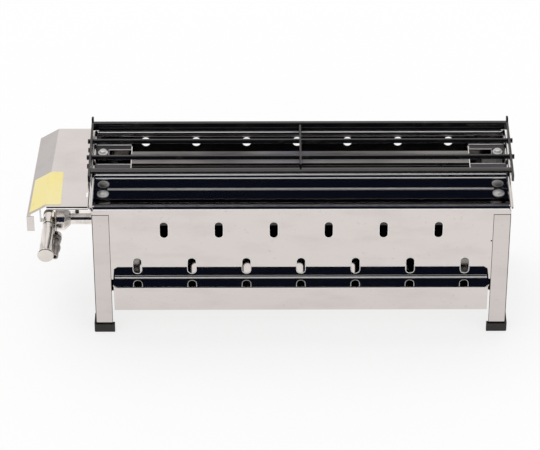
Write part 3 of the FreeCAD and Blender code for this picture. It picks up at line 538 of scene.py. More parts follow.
class Shape:
    """A mesh in the making: points and faces that come from simple formulas."""

    steep = 0.9
    bead_sides = 6
    washer_sides = 36
    nut_sides = 48
    nut_slope = math.tan(math.radians(30))
    nut_face = 0.95
    thread_sides = 20
    thread_steps = 5
    thread_depth = 0.55
    thread_tip = 0.6

    def __init__(self) -> None:
        """Start with nothing."""
        self.mesh = bmesh.new()

    def rows(self, rows: Sequence[Sequence[Vector]], closed_round: bool = True, closed_along: bool = False,
             caps: bool = False) -> None:
        """Skin rows of points with four-sided faces.

        Args:
            rows: rows of points, all of one length.
            closed_round: whether each row closes on itself.
            closed_along: whether the last row joins the first.
            caps: whether the first and last rows are filled.
        """
        skin = [[self.mesh.verts.new(point) for point in row] for row in rows]
        count = len(skin[0])
        pairs = list(zip(skin, skin[1:]))
        if closed_along:
            pairs.append((skin[-1], skin[0]))
        for first, second in pairs:
            for i in range(count if closed_round else count - 1):
                j = (i + 1) % count
                self.mesh.faces.new((first[i], first[j], second[j], second[i]))
        if caps:
            self.mesh.faces.new(skin[0][::-1])
            self.mesh.faces.new(skin[-1])

    def tube(self, path: Sequence[Vector], radius: float, sides: int, closed: bool) -> None:
        """A tube along a path.

        Args:
            path: the points of its middle line.
            radius: its radius.
            sides: points round the tube.
            closed: whether the path is a ring.
        """
        count = len(path)
        rows = []
        side = None
        for i, point in enumerate(path):
            before = path[i - 1] if closed or i else point
            after = path[(i + 1) % count] if closed or i < count - 1 else point
            along = (after - before).normalized()
            if side is None:
                helper = Z_AXIS if abs(along.z) < self.steep else X_AXIS
                side = along.cross(helper).normalized()
            side = (side - along * side.dot(along)).normalized()
            rows.append([point + spoke * radius for spoke in spokes(side, along.cross(side), sides)])
        self.rows(rows, closed_along=closed, caps=not closed)

    def bead(self, radius: float, *path: Vector) -> None:
        """A fine round line along a path."""
        self.tube(path, radius, self.bead_sides, False)

    def line(self, radius: float, run: Span, y: float, z: float) -> None:
        """A fine round line along X, over a run, at one place across it."""
        self.bead(radius, *(Vector((x, y, z)) for x in run))

    def bar(self, section: Sequence[Point], run: Span) -> None:
        """A bar along X, over a run, whose section is in (rearward, upward) points."""
        self.rows([[Vector((x, y, z)) for y, z in section] for x in run], caps=True)

    def slab(self, outline: Sequence[Vector], thickness: Vector) -> None:
        """A flat piece from an outline and the vector of its thickness."""
        self.rows([outline, [point + thickness for point in outline]], caps=True)

    def turned(self, profile: Sequence[Point], centre: Vector, axis: Vector, sides: int,
               closed: bool = False) -> None:
        """A turned form.

        Args:
            profile: its (distance along the axis, radius) points.
            centre: where distance is zero.
            axis: the direction of the axis.
            sides: points round the axis.
            closed: whether the profile is a ring, as on a washer.
        """
        around = spokes(*across(axis), sides)
        rows = [[centre + axis * distance + spoke * radius for spoke in around]
                for distance, radius in profile]
        self.rows(rows, closed_along=closed, caps=not closed)

    def washer(self, centre: Vector, axis: Vector, bore: float, radius: float, height: float) -> None:
        """A plain washer.

        Args:
            centre: the middle of its lower face.
            axis: the direction it stands in.
            bore: the radius of its hole.
            radius: its outer radius.
            height: its thickness.
        """
        profile = [(0.0, bore), (0.0, radius), (height, radius), (height, bore)]
        self.turned(profile, centre, axis, self.washer_sides, closed=True)

    def nut(self, centre: Vector, axis: Vector, flats: float, height: float, bore: float) -> None:
        """A hexagonal nut with chamfered corners.

        Args:
            centre: the middle of its lower face.
            axis: the direction it stands in.
            flats: its width across flats.
            height: its height.
            bore: the radius of its hole.
        """
        sector = TURN / 6
        apothem = flats / 2
        face = apothem * self.nut_face
        rows = []
        for k, spoke in enumerate(spokes(*across(axis), self.nut_sides)):
            angle = TURN * k / self.nut_sides
            corner = apothem / math.cos((angle + sector / 2) % sector - sector / 2)
            drop = (corner - face) * self.nut_slope
            outline = [(0.0, bore), (0.0, face), (drop, corner), (height - drop, corner), (height, face),
                       (height, bore)]
            rows.append([centre + axis * level + spoke * radius for level, radius in outline])
        self.rows(rows, closed_along=True)

    def thread(self, centre: Vector, axis: Vector, radius: float, length: float, pitch: float) -> None:
        """A threaded stud.

        Args:
            centre: the middle of its first end.
            axis: the direction it runs in.
            radius: its outer radius.
            length: its length.
            pitch: the rise of one turn of the thread.
        """
        around = spokes(*across(axis), self.thread_sides)
        count = round(length / pitch * self.thread_steps)
        rows = []
        for i in range(count + 1):
            distance = length * i / count
            tip = self.thread_tip + (length - distance) / pitch * (1 - self.thread_tip)
            row = []
            for k, spoke in enumerate(around):
                share = (distance / pitch - k / self.thread_sides) % 1.0
                cut = self.thread_depth * pitch * abs(2 * share - 1)
                row.append(centre + axis * distance + spoke * ((radius - cut) * min(1.0, tip)))
            rows.append(row)
        self.rows(rows, caps=True)

    def data(self, name: str) -> bpy.types.Mesh:
        """Close the shape into mesh data.

        Args:
            name: the data's name.

        Returns:
            The mesh data.
        """
        bmesh.ops.recalc_face_normals(self.mesh, faces=self.mesh.faces)
        data = bpy.data.meshes.new(name)
        self.mesh.to_mesh(data)
        self.mesh.free()
        return data


@dataclass(frozen=True)
class SlotRow:
    """A row of punched air slots, its middle given from the middle of the wall."""

    count: int
    pitch: float
    shift: float
    z: float
    half_width: float = 5.6 * MM
    half_height: float = 13.0 * MM
    chords: int = 8

    def outline(self, x: float, grow: float) -> list[Point]:
        """The outline of one upright slot with round ends.

        Args:
            x: the slot's middle.
            grow: how far outside the edge the outline runs.

        Returns:
            One closed outline of (across, up) points.
        """
        radius = self.half_width + grow
        straight = self.half_height - self.half_width
        top = arc_points((x, self.z + straight), radius, 0, 180, self.chords)
        return top + arc_points((x, self.z - straight), radius, 180, 360, self.chords)

    def outlines(self, grow: float) -> list[list[Point]]:
        """The outline of every slot in the row, grown outside its edge by grow."""
        first = middle_of("front_panel").x + self.shift - self.pitch * (self.count - 1) / 2
        return [self.outline(first + self.pitch * i, grow) for i in range(self.count)]


@dataclass
class Assembly:
    """A sub-assembly of the grill, with the finishes that its pieces are made in."""

    finishes: Finishes

    def piece(self, shape: Shape, name: str, body: Body, slot: Slot,
              shade: Shade | None = None) -> bpy.types.Object:
        """Turn a shape into a piece that rides on a body.

        Args:
            shape: the shape.
            name: the piece's name.
            body: what it rides on.
            slot: its finish.
            shade: the variant of that finish, if it has one.

        Returns:
            The new piece.
        """
        data = shape.data(name)
        for face in data.polygons:
            face.use_smooth = True
        data.set_sharp_from_angle(angle=SMOOTH_LIMIT)
        piece = linked(name, data)
        self.finishes.coat(piece, shade or slot)
        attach(piece, body.value)
        log.info("made %s with %d faces", name, len(data.polygons))
        return piece


@dataclass
class SheetBody(Assembly):
    """The folded box of the grill: walls, corner legs, shelf and fire chamber."""

    legs: tuple[str, ...] = ("leg_front_left", "leg_front_right", "leg_rear_left", "leg_rear_right")
    upper_row: SlotRow = SlotRow(6, 0.0736, 0.0, 0.172)
    lower_row: SlotRow = SlotRow(7, 0.0737, 0.0, 0.1117)
    rear_row: SlotRow = SlotRow(7, 0.0696, -0.004, 0.1912, 6.0 * MM, 7.5 * MM)
    wall_inset: float = 1.0 * MM
    burr_radius: float = 0.55 * MM
    burr_offset: float = 0.4 * MM
    burr_sink: float = 0.15 * MM
    burr_sides: int = 8
    # Painted shadow in the tops of the upper slots.
    slot_shadow_inset: float = 0.1 * MM
    slot_shadow_gap: float = 0.03 * MM
    slot_shadow_depth: float = 0.15 * MM
    weld_radius: float = 2.1 * MM
    weld_rise: float = 0.12 * MM
    weld_root: float = 0.2 * MM
    weld_crown: float = 0.8
    weld_dip: float = 0.4
    weld_sides: int = 20
    weld_heights: tuple[float, ...] = (0.062, 0.118, 0.178)
    foot_top: float = 0.013
    # Painted shade round the legs and on their corner folds.
    seam_radius: float = 0.42 * MM
    seam_gap: float = 0.2 * MM
    seam_overrun: float = 0.4 * MM
    fold_radius: float = 0.35 * MM
    fold_inset: float = 0.28 * MM
    shelf_top: float = 0.183
    shelf_run: Span = (-0.2235, 0.3005)
    # Painted highlight lines at the shelf corner, the rims and the curls.
    corner_radius: float = 0.85 * MM
    corner_inset: float = 1.4 * MM
    corner_rise: float = 0.6 * MM
    rim_run: Span = (-0.2385, 0.3155)
    rim_z: float = 0.2064
    rim_radius: float = 3.9 * MM
    rim_inset: float = 4.0 * MM
    rim_highlight_radius: float = 0.65 * MM
    crown_sink: float = 0.2 * MM
    partition_roll_y: float = -0.010
    wall_highlight_radius: float = 0.8 * MM
    front_highlight_rise: float = 5.0
    rear_highlight_rise: float = 65.0
    rear_highlight_reach: float = 3.48 * MM
    # Painted shade: bands over the rim crowns and a line behind the rear rim's crown.
    front_crown_shade_band: Span = (64.0, 127.0)
    rear_crown_shade_band: Span = (80.0, 127.0)
    shade_band_inner: float = 3.7 * MM
    shade_band_outer: float = 3.97 * MM
    shade_band_steps: int = 10
    rear_shade_line_radius: float = 0.7 * MM
    rear_shade_line_rise: float = 125.0
    curl_run: Span = (-0.079, 0.084)
    curl_z: float = 0.2082
    curl_highlight_radius: float = 0.95 * MM
    curl_highlights: Span = (0.4 * MM, 3.8 * MM)

    def build(self) -> None:
        """Dress the sheet nodes, add welds and bright-coloured burrs, and paint highlight lines, shade along
        the seams and rim crowns, and shadow in the upper slots.
        """
        self.finishes.dress(Slot.POLISHED, "front_panel", "rear_panel", "left_end_panel", "right_end_panel",
                            "front_shelf", "chamber_front_wall", "drawer_rail_left", "drawer_rail_right")
        self.finishes.dress(Shade.LEG, *self.legs)
        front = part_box("front_panel")[0].y
        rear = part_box("rear_panel")[1].y
        front_roll = front + self.rim_inset
        rear_roll = rear - self.rim_inset
        self.slot_burr_highlights("front_slot_burr_highlights", front + self.wall_inset, 1, self.upper_row, self.lower_row)
        self.slot_burr_highlights("rear_slot_burr_highlights", rear - self.wall_inset, -1, self.rear_row, self.lower_row)
        self.spot_welds()
        self.painted_leg_shade()
        self.sheet_highlights(front_roll, rear_roll)
        # Painted shade: a dark line behind the rear rim's crown, and dark bands over both crowns.
        rear_shade_line = Shape()
        rear_shade_line.line(self.rear_shade_line_radius, self.rim_run, *self.rim_point(rear_roll, self.rear_shade_line_rise, self.rim_radius))
        self.paint_crown_shade("front_rim_painted_shade", Shape(), front_roll, self.front_crown_shade_band, Shade.PAINTED_GREY_SHADE)
        self.paint_crown_shade("rear_rim_painted_shade", rear_shade_line, rear_roll, self.rear_crown_shade_band, Shade.PAINTED_SHADE)
        self.slot_shadow()

    def slot_burr_highlights(self, name: str, face_y: float, inward: int, *slot_rows: SlotRow) -> None:
        """The rounded edge that the punch leaves round each slot, coloured bright as a painted highlight.

        Args:
            name: the piece's name.
            face_y: where the wall's outer face lies.
            inward: the direction along Y that goes into the wall.
            *slot_rows: the rows of slots in that wall.
        """
        shape = Shape()
        y = face_y + inward * self.burr_sink
        for row in slot_rows:
            for outline in row.outlines(self.burr_offset):
                shape.tube([Vector((x, y, z)) for x, z in outline], self.burr_radius, self.burr_sides, True)
        self.piece(shape, name, Body.BODY, Slot.POLISHED, Shade.PAINTED_HIGHLIGHT)

    def spot_welds(self) -> None:
        """Shallow round marks where the legs are welded to the walls."""
        shape = Shape()
        profile = [(-self.weld_root, self.weld_radius), (0.0, self.weld_radius),
                   (self.weld_rise, self.weld_radius * self.weld_crown),
                   (self.weld_rise * self.weld_dip, self.weld_root)]
        for leg in self.legs:
            low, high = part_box(leg)
            y, out = (low.y, -1) if "front" in leg else (high.y, 1)
            for z in self.weld_heights:
                shape.turned(profile, Vector((middle_of(leg).x, y, z)), Y_AXIS * out, self.weld_sides)
        self.piece(shape, "leg_spot_welds", Body.BODY, Slot.POLISHED, Shade.LEG)

    def painted_leg_shade(self) -> None:
        """Painted shade along the gaps round each leg and on the fold at its corner."""
        shape = Shape()
        for leg in self.legs:
            low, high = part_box(leg)
            face, inward = (low.y, 1) if "front" in leg else (high.y, -1)
            inner, outer, away = (high.x, low.x, 1) if "left" in leg else (low.x, high.x, -1)
            wall = face + inward * self.wall_inset
            side = inner + away * self.seam_gap
            top = high.z + self.seam_gap
            shape.bead(self.seam_radius, Vector((side, wall, self.foot_top)), Vector((side, wall, top)),
                       Vector((outer + away * self.seam_overrun, wall, top)))
            x, y = outer + away * self.fold_inset, face + inward * self.fold_inset
            shape.bead(self.fold_radius, Vector((x, y, self.foot_top)), Vector((x, y, high.z)))
        self.piece(shape, "painted_leg_shade", Body.BODY, Slot.POLISHED, Shade.PAINTED_SHADE)

    def sheet_highlights(self, front_roll: float, rear_roll: float) -> None:
        """Painted highlight lines along the shelf corner, the hems and rims, and the curls.

        Args:
            front_roll: the middle of the front rim's roll along Y.
            rear_roll: the middle of the rear rim's roll along Y.
        """
        shape = Shape()
        shape.line(self.corner_radius, self.shelf_run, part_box("front_shelf")[1].y - self.corner_inset,
                   self.shelf_top + self.corner_rise)
        hem = (self.partition_roll_y - self.rim_radius, self.rim_z)
        crown = (self.partition_roll_y, self.rim_z + self.rim_radius - self.crown_sink)
        for place in (hem, crown):
            shape.line(self.rim_highlight_radius, self.rim_run, *place)
        front = self.rim_point(front_roll, self.front_highlight_rise, self.rim_radius)
        rear = self.rim_point(rear_roll, self.rear_highlight_rise, self.rear_highlight_reach)
        for place in (front, rear):
            shape.line(self.wall_highlight_radius, self.rim_run, *place)
        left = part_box("left_end_panel")[0].x
        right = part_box("right_end_panel")[1].x
        for inset in self.curl_highlights:
            for x in (left + inset, right - inset):
                shape.bead(self.curl_highlight_radius, *(Vector((x, y, self.curl_z)) for y in self.curl_run))
        self.piece(shape, "painted_sheet_highlights", Body.BODY, Slot.POLISHED, Shade.PAINTED_HIGHLIGHT)

    def rim_point(self, roll_y: float, rise: float, reach: float) -> Point:
        """A point on a rolled rim.

        Args:
            roll_y: the middle of the roll.
            rise: how far round from the front it lies, in degrees.
            reach: how far from the middle of the roll it lies.

        Returns:
            Its place as (rearward, upward).
        """
        angle = math.radians(180 - rise)
        return roll_y + reach * math.cos(angle), self.rim_z + reach * math.sin(angle)

    def paint_crown_shade(self, name: str, shape: Shape, roll_y: float, band: Span, shade: Shade) -> None:
        """A band of painted shade that dims the crown of a rim.

        Args:
            name: the piece's name.
            shape: what the band is added to.
            roll_y: the middle of the roll.
            band: where the band starts and stops, in degrees round from the front.
            shade: its finish.
        """
        start, stop = (180 - rise for rise in band)
        middle = (roll_y, self.rim_z)
        outer = arc_points(middle, self.shade_band_outer, start, stop, self.shade_band_steps)
        inner = arc_points(middle, self.shade_band_inner, stop, start, self.shade_band_steps)
        shape.bar(outer + inner, self.rim_run)
        self.piece(shape, name, Body.BODY, Slot.POLISHED, shade)

    def slot_shadow(self) -> None:
        """Painted shadow on the shelf's flange, where it shows through the tops of the upper slots."""
        shape = Shape()
        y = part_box("front_shelf")[0].y - self.slot_shadow_gap
        for outline in self.upper_row.outlines(-self.slot_shadow_inset):
            film = [Vector((x, y, z)) for x, z in outline if z > self.upper_row.z]
            shape.slab(film, Y_AXIS * -self.slot_shadow_depth)
        self.piece(shape, "upper_slot_painted_shadow", Body.BODY, Slot.POLISHED, Shade.PAINTED_SHADE)


@dataclass
class RubberFeet(Assembly):
    """The four black shoes under the legs."""

    def build(self) -> None:
        """Dress the shoes."""
        self.finishes.dress(Slot.RUBBER, "foot_front_left", "foot_front_right", "foot_rear_left",
                            "foot_rear_right")


@dataclass
class Drawer(Assembly):
    """The water pan and its front with the lip-shaped pull."""

    # Painted highlight lines at the fold behind the pull and at the hem.
    fold_radius: float = 0.95 * MM
    fold_y: float = -0.0864
    fold_rise: float = 0.3 * MM
    fold_inset: float = 2.0 * MM
    hem_radius: float = 0.5 * MM
    hem_drop: float = 2.0 * MM
    hem_inset: float = 6.0 * MM

    def build(self) -> None:
        """Dress the pan and the front, and paint highlight lines along the fold behind the pull and along the
        front's hem.
        """
        self.finishes.dress(Slot.POLISHED, "drip_tray", "tray_front")
        low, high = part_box("tray_front")
        fold_run = (low.x + self.fold_inset, high.x - self.fold_inset)
        hem_run = (low.x + self.hem_inset, high.x - self.hem_inset)
        shape = Shape()
        shape.line(self.fold_radius, fold_run, self.fold_y, high.z + self.fold_rise)
        shape.line(self.hem_radius, hem_run, low.y + self.hem_radius, high.z - self.hem_drop)
        self.piece(shape, "tray_pull_highlights", Body.TRAY, Slot.POLISHED, Shade.PAINTED_HIGHLIGHT)


@dataclass
class CrossScrews(Assembly):
    """Screws with a cross sunk into each head."""

    recess_length: float = 3.4 * MM
    recess_width: float = 0.8 * MM
    recess_depth: float = 1.4 * MM
    recess_above: float = 1.0 * MM
    floor_length: float = 0.35
    floor_width: float = 0.7

    def cross(self, top: Vector, axis: Vector) -> bpy.types.Object:
        """The tool that sinks a cross into a head.

        Args:
            top: the middle of the head's top.
            axis: the direction the head faces.

        Returns:
            The cutting piece.
        """
        shape = Shape()
        side, other = across(axis)
        above = top + axis * self.recess_above
        below = top - axis * self.recess_depth
        for u, v in ((side, other), (other, side)):
            long = u * (self.recess_length / 2)
            wide = v * (self.recess_width / 2)
            mouth = [above + long * a + wide * b for a, b in SQUARE]
            floor = [below + long * (a * self.floor_length) + wide * (b * self.floor_width)
                     for a, b in SQUARE]
            shape.rows([floor, mouth], caps=True)
        return linked("cross", shape.data("cross"))

    def heads(self, name: str, profile: Sequence[Point], centres: Sequence[Vector], axis: Vector, sides: int,
              shade: Shade | None = None) -> bpy.types.Object:
        """Turn the heads, cut a cross out of each and throw the tools away.

        Args:
            name: the piece's name.
            profile: a head's (distance along the axis, radius) points, its top last.
            centres: where each head sits on the sheet.
            axis: the direction the heads face.
            sides: points round a head.
            shade: the variant of the finish, if it has one.

        Returns:
            The heads.
        """
        shape = Shape()
        for centre in centres:
            shape.turned(profile, centre, axis, sides)
        piece = self.piece(shape, name, Body.BODY, Slot.ZINC, shade)
        tools = [self.cross(centre + axis * profile[-1][0], axis) for centre in centres]
        for tool in tools:
            cut = piece.modifiers.new("cross", "BOOLEAN")
            cut.operation = "DIFFERENCE"
            cut.solver = "EXACT"
            cut.use_self = True
            cut.object = tool
        graph = bpy.context.evaluated_depsgraph_get()
        result = bpy.data.meshes.new_from_object(piece.evaluated_get(graph))
        piece.modifiers.clear()
        piece.data = result
        for tool in tools:
            bpy.data.objects.remove(tool)
        return piece


@dataclass
class ShelfScrews(CrossScrews):
    """The two truss-head screws through the ends of the shelf, with washers and nuts."""

    middle: Vector = Vector((0.0385, -0.0175, 0.183))
    reach: float = 0.268
    sides: int = 32
    nut_drop: float = 5.6 * MM
    nut_size: Size = (8 * MM, 4 * MM, 2.3 * MM)
    stud_start: float = 0.5 * MM
    stud_size: Size = (2.45 * MM, 6.4 * MM, 0.8 * MM)

    def build(self) -> None:
        """Make both screws with washers and nuts in place of the plain node."""
        head = in_mm((1.0, 2.4), (1.0, 5.6), (1.3, 5.9), (1.9, 5.6), (2.8, 4.6), (3.6, 2.9), (3.95, 1.2),
                     (4.0, 0.3))
        washer = in_mm((0.0, 2.6), (0.0, 7.9), (0.2, 8.0), (0.8, 8.0), (1.0, 7.8), (1.0, 2.6))
        centres = [self.middle + X_AXIS * (side * self.reach) for side in (-1, 1)]
        nuts = Shape()
        for centre in centres:
            nuts.turned(washer, centre, Z_AXIS, Shape.washer_sides, closed=True)
            nuts.nut(centre - Z_AXIS * self.nut_drop, Z_AXIS, *self.nut_size)
            nuts.thread(centre + Z_AXIS * self.stud_start, -Z_AXIS, *self.stud_size)
        # Heads, washers, nuts and studs in zinc made paler: partly its plating, partly painted light.
        piece = self.heads("shelf_screw_heads", head, centres, Z_AXIS, self.sides, Shade.ZINC_PAINTED_LIGHT)
        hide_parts("shelf_screws")
        self.piece(nuts, "shelf_screw_nuts", Body.BODY, Slot.ZINC, Shade.ZINC_PAINTED_LIGHT)


@dataclass
class CoverScrews(CrossScrews):
    """The two pan-head screws that hold the cock cover."""

    face_x: float = -0.2423
    z: float = 0.190
    ys: Span = (-0.0745, 0.0835)
    sides: int = 28
    recess_length: float = 2.6 * MM
    recess_width: float = 0.7 * MM
    recess_depth: float = 1.0 * MM

    def build(self) -> None:
        """Make both screws in place of the plain node."""
        head = in_mm((-6.0, 1.1), (-5.0, 1.6), (0.0, 1.6), (0.0, 2.9), (0.3, 3.05), (0.9, 2.95), (1.5, 2.4),
                     (1.9, 1.3), (2.0, 0.2))
        centres = [Vector((self.face_x, y, self.z)) for y in self.ys]
        piece = self.heads("cover_screw_heads", head, centres, -X_AXIS, self.sides)
        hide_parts("cover_screws")


@dataclass
class Hood(Assembly):
    """The radiant hood over the burner with its plates, straps, brackets and bolts."""

    bolt_middle: Vector = Vector((0.0385, 0.0525, 0.2014))
    bolt_reach: float = 0.270
    stud_drop: float = 8.0 * MM
    stud_size: Size = (2.5 * MM, 12 * MM, 0.8 * MM)
    washer_size: Size = (2.6 * MM, 6.6 * MM, 1.0 * MM)
    upper_nut: Size = (8.2 * MM, 3.4 * MM, 2.2 * MM)
    lower_nut: Size = (8.2 * MM, 3.2 * MM, 2.2 * MM)
    lower_nut_drop: float = 5.9 * MM
    highlight_radius: float = 0.6 * MM
    strap_reach: Span = (0.2315, 0.2785)
    strap_foot_reach: float = 0.262
    rear_strap_ys: Size = (0.0465, 0.0596, 0.0706)
    front_strap_ys: Span = (0.0144, 0.0254)

    def build(self) -> None:
        """Dress the hood and make its bolts with real threads."""
        self.finishes.dress(Slot.HEATED, "radiant_hood")
        self.finishes.dress(Slot.POLISHED, "hood_end_left", "hood_end_right")
        self.finishes.dress(Shade.SCORCHED, "hood_bracket_left", "hood_bracket_right", "hood_straps_left",
                            "hood_straps_right")
        self.strap_highlights()
        shape = Shape()
        for side in (-1, 1):
            centre = self.bolt_middle + X_AXIS * (side * self.bolt_reach)
            shape.thread(centre - Z_AXIS * self.stud_drop, Z_AXIS, *self.stud_size)
            shape.washer(centre, Z_AXIS, *self.washer_size)
            shape.nut(centre + Z_AXIS * self.washer_size[-1], Z_AXIS, *self.upper_nut)
            shape.nut(centre - Z_AXIS * self.lower_nut_drop, Z_AXIS, *self.lower_nut)
        # Studs, washers and nuts in zinc made paler: partly its plating, partly painted light.
        bolts = self.piece(shape, "hood_bolts_threaded", Body.BODY, Slot.ZINC, Shade.ZINC_PAINTED_LIGHT)
        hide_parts("hood_bolts")

    def strap_highlights(self) -> None:
        """Painted highlight lines round the straps' cut edges."""
        shape = Shape()
        inner, wall = self.strap_reach
        foot_y, front_y, rear_y = self.rear_strap_ys
        near_y, far_y = self.front_strap_ys
        rear = [(inner, front_y), (self.strap_foot_reach, front_y), (self.strap_foot_reach, foot_y),
                (wall, foot_y), (wall, rear_y), (inner, rear_y)]
        front = [(inner, near_y), (wall, near_y), (wall, far_y), (inner, far_y)]
        for side in (-1, 1):
            for outline in (rear, front):
                path = [Vector((self.bolt_middle.x + side * x, y, self.bolt_middle.z)) for x, y in outline]
                shape.tube(path, self.highlight_radius, Shape.bead_sides, True)
        self.piece(shape, "hood_strap_highlights", Body.BODY, Slot.HEATED, Shade.PAINTED_HIGHLIGHT)


@dataclass
class GasLine(Assembly):
    """Burner pipe, mixing tube, air shutter, jet, valve, knob and hose tail."""

    tail_nut: Vector = Vector((0.2985, 0.0425, 0.0985))
    tail_drop: float = 4.0 * MM
    tail_stud_size: Size = (3.95 * MM, 12 * MM, 1.25 * MM)
    tail_nut_size: Size = (13 * MM, 5 * MM, 3.6 * MM)
    tail_washer_size: Size = (3.0 * MM, 7.0 * MM, 2.0 * MM)
    knob_face: Vector = Vector((-0.3095, -0.0445, 0.0985))
    knob_sides: int = 64
    hose_tip: Vector = Vector((-0.2985, -0.0251, 0.082))
    hose_sides: int = 48
    hexagon_start: float = 33.6 * MM
    hexagon_size: Size = (13 * MM, 7 * MM, 2.6 * MM)
    cap_start: Vector = Vector((-0.3095, 0.0457, 0.0985))
    cap_sides: int = 40

    def build(self) -> None:
        """Dress the gas line and turn its tail bolt, knob, hose tail and valve cap."""
        self.finishes.dress(Slot.HEATED, "burner_pipe")
        self.finishes.dress(Slot.TUBE, "mixing_tube")
        self.finishes.dress(Slot.SCREW, "tube_lock_screw")
        self.finishes.dress(Slot.ZINC, "air_shutter", "burner_bracket", "valve_hanger", "valve_spindle")
        self.finishes.dress(Slot.BRASS, "jet_holder", "gas_jet", "gland_nut")
        self.finishes.dress(Slot.CHROME, "valve_body")
        self.tail_bolt()
        self.knob()
        self.hose_tail()
        self.valve_cap()

    def tail_bolt(self) -> None:
        """The threaded stud, washer and nut at the burner's blind end."""
        shape = Shape()
        start = self.tail_nut - X_AXIS * self.tail_drop
        shape.thread(start, X_AXIS, *self.tail_stud_size)
        shape.nut(self.tail_nut, X_AXIS, *self.tail_nut_size)
        shape.washer(start, X_AXIS, *self.tail_washer_size)
        bolt = self.piece(shape, "burner_tail_bolt_threaded", Body.BODY, Slot.ZINC)
        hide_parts("burner_tail_bolt")

    def knob(self) -> None:
        """The smooth turned knob with its flat round face."""
        shape = Shape()
        profile = in_mm((0.0, 10.3), (0.2, 10.8), (0.6, 11.15), (1.2, 11.2), (2.2, 11.2), (2.6, 10.9),
                        (3.0, 9.8), (3.6, 9.35), (66.4, 7.5), (67.0, 6.9))
        shape.turned(profile, self.knob_face, Y_AXIS, self.knob_sides)
        knob = self.piece(shape, "control_knob_turned", Body.KNOB, Slot.CHROME)
        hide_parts("control_knob")

    def hose_tail(self) -> None:
        """The smooth hose tail: seat, bulb, neck and hexagon, bored through."""
        shape = Shape()
        profile = in_mm((0.0, 2.6), (0.0, 4.4), (0.35, 4.75), (9.6, 4.75), (13.0, 5.7), (17.0, 6.7),
                        (19.5, 6.9), (22.0, 6.8), (24.5, 6.1), (26.5, 5.4), (33.6, 5.4), (33.6, 2.6))
        shape.turned(profile, self.hose_tip, Y_AXIS, self.hose_sides, closed=True)
        shape.nut(self.hose_tip + Y_AXIS * self.hexagon_start, Y_AXIS, *self.hexagon_size)
        tail = self.piece(shape, "hose_tail_turned", Body.BODY, Slot.NICKEL)
        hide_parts("hose_inlet")

    def valve_cap(self) -> None:
        """The brass cap that closes the valve at the rear, darkened as painted shade under the cover."""
        shape = Shape()
        profile = in_mm((0.0, 7.3), (0.2, 7.8), (5.6, 7.8), (7.0, 7.2), (7.6, 4.0), (7.6, 0.6))
        shape.turned(profile, self.cap_start, Y_AXIS, self.cap_sides)
        self.piece(shape, "valve_cap", Body.BODY, Slot.BRASS, Shade.BRASS_PAINTED_SHADE)


@dataclass
class Grate(Assembly):
    """The black enamelled grate that the skewers lie on."""

    middle_x: float = 0.0385
    flat_reach: float = 0.284
    rod_ys: Span = (0.0237, 0.0613)
    rod_z: float = 0.2144
    rod_radius: float = 3.35 * MM
    weld_radius: float = 1.1 * MM
    weld_steps: int = 28
    weld_sides: int = 8
    weld_wobble: float = 0.05
    wobble_scale: float = 3.0
    bar_depth: float = 8.6 * MM
    bar_height: float = 3.5 * MM
    bar_ease: float = 0.6 * MM
    ease_share: float = 0.3

    def build(self) -> None:
        """Dress the grate, weld its crossings and make its flat front bar."""
        self.finishes.dress(Slot.ENAMEL, "grate_end_flats", "grate_rear_bar", "grate_rods",
                            "grate_centre_stay")
        shape = Shape()
        for side in (-1, 1):
            for y in self.rod_ys:
                self.ring_weld(shape, Vector((self.middle_x + side * self.flat_reach, y, self.rod_z)))
        self.piece(shape, "grate_welds", Body.GRATE, Slot.ENAMEL)
        self.front_bar()

    def ring_weld(self, shape: Shape, centre: Vector) -> None:
        """A lumpy weld round a rod where it meets an end bar.

        Args:
            shape: the mesh to add it to.
            centre: the rod's middle at the bar's inner face.
        """
        path = []
        for i, spoke in enumerate(spokes(Y_AXIS, Z_AXIS, self.weld_steps)):
            place = centre + X_AXIS * (TURN * i / self.weld_steps)
            lump = self.weld_wobble * noise.noise(place * self.wobble_scale)
            path.append(centre + spoke * (self.rod_radius * (1 + lump)))
        shape.tube(path, self.weld_radius, self.weld_sides, True)

    def front_bar(self) -> None:
        """The flat bar that the skewers' handles lie on, its edges eased."""
        low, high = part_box("grate_front_bar")
        rear, top = high.y, high.z
        front, bottom = rear - self.bar_depth, top - self.bar_height
        ease, part = self.bar_ease, self.bar_ease * self.ease_share
        section = [(front, bottom), (rear, bottom), (rear, top - ease), (rear - part, top - part),
                   (rear - ease, top), (front + ease, top), (front + part, top - part), (front, top - ease)]
        shape = Shape()
        shape.bar(section, (low.x, high.x))
        bar = self.piece(shape, "grate_front_flat", Body.GRATE, Slot.ENAMEL)
        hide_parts("grate_front_bar")


@dataclass
class CockCover(Assembly):
    """The folded cover over the gas cock and its bare yellow label."""

    sheet: float = 0.8 * MM
    hem_run: Span = (-0.3015, -0.2465)
    hem_height: float = 4.4 * MM
    shadow_drop: float = 0.3 * MM
    shadow_radius: float = 0.65 * MM

    def build(self) -> None:
        """Dress the cover and the label, hem the front edge in a painted highlight and paint a shadow line
        under it.
        """
        self.finishes.dress(Slot.POLISHED, "cock_cover")
        self.finishes.dress(Slot.LABEL, "blank_label")
        low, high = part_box("cock_cover")
        front, back = low.y, low.y + self.sheet
        top = high.z - self.sheet
        bottom = top - self.hem_height
        hem = Shape()
        hem.bar([(front, top), (front, bottom), (back, bottom), (back, top)], self.hem_run)
        self.piece(hem, "cover_front_hem_highlight", Body.BODY, Slot.POLISHED, Shade.PAINTED_HIGHLIGHT)
        line = Shape()
        line.line(self.shadow_radius, self.hem_run, (front + back) / 2, bottom - self.shadow_drop)
        self.piece(line, "cover_hem_shadow", Body.BODY, Slot.POLISHED, Shade.PAINTED_SHADE)


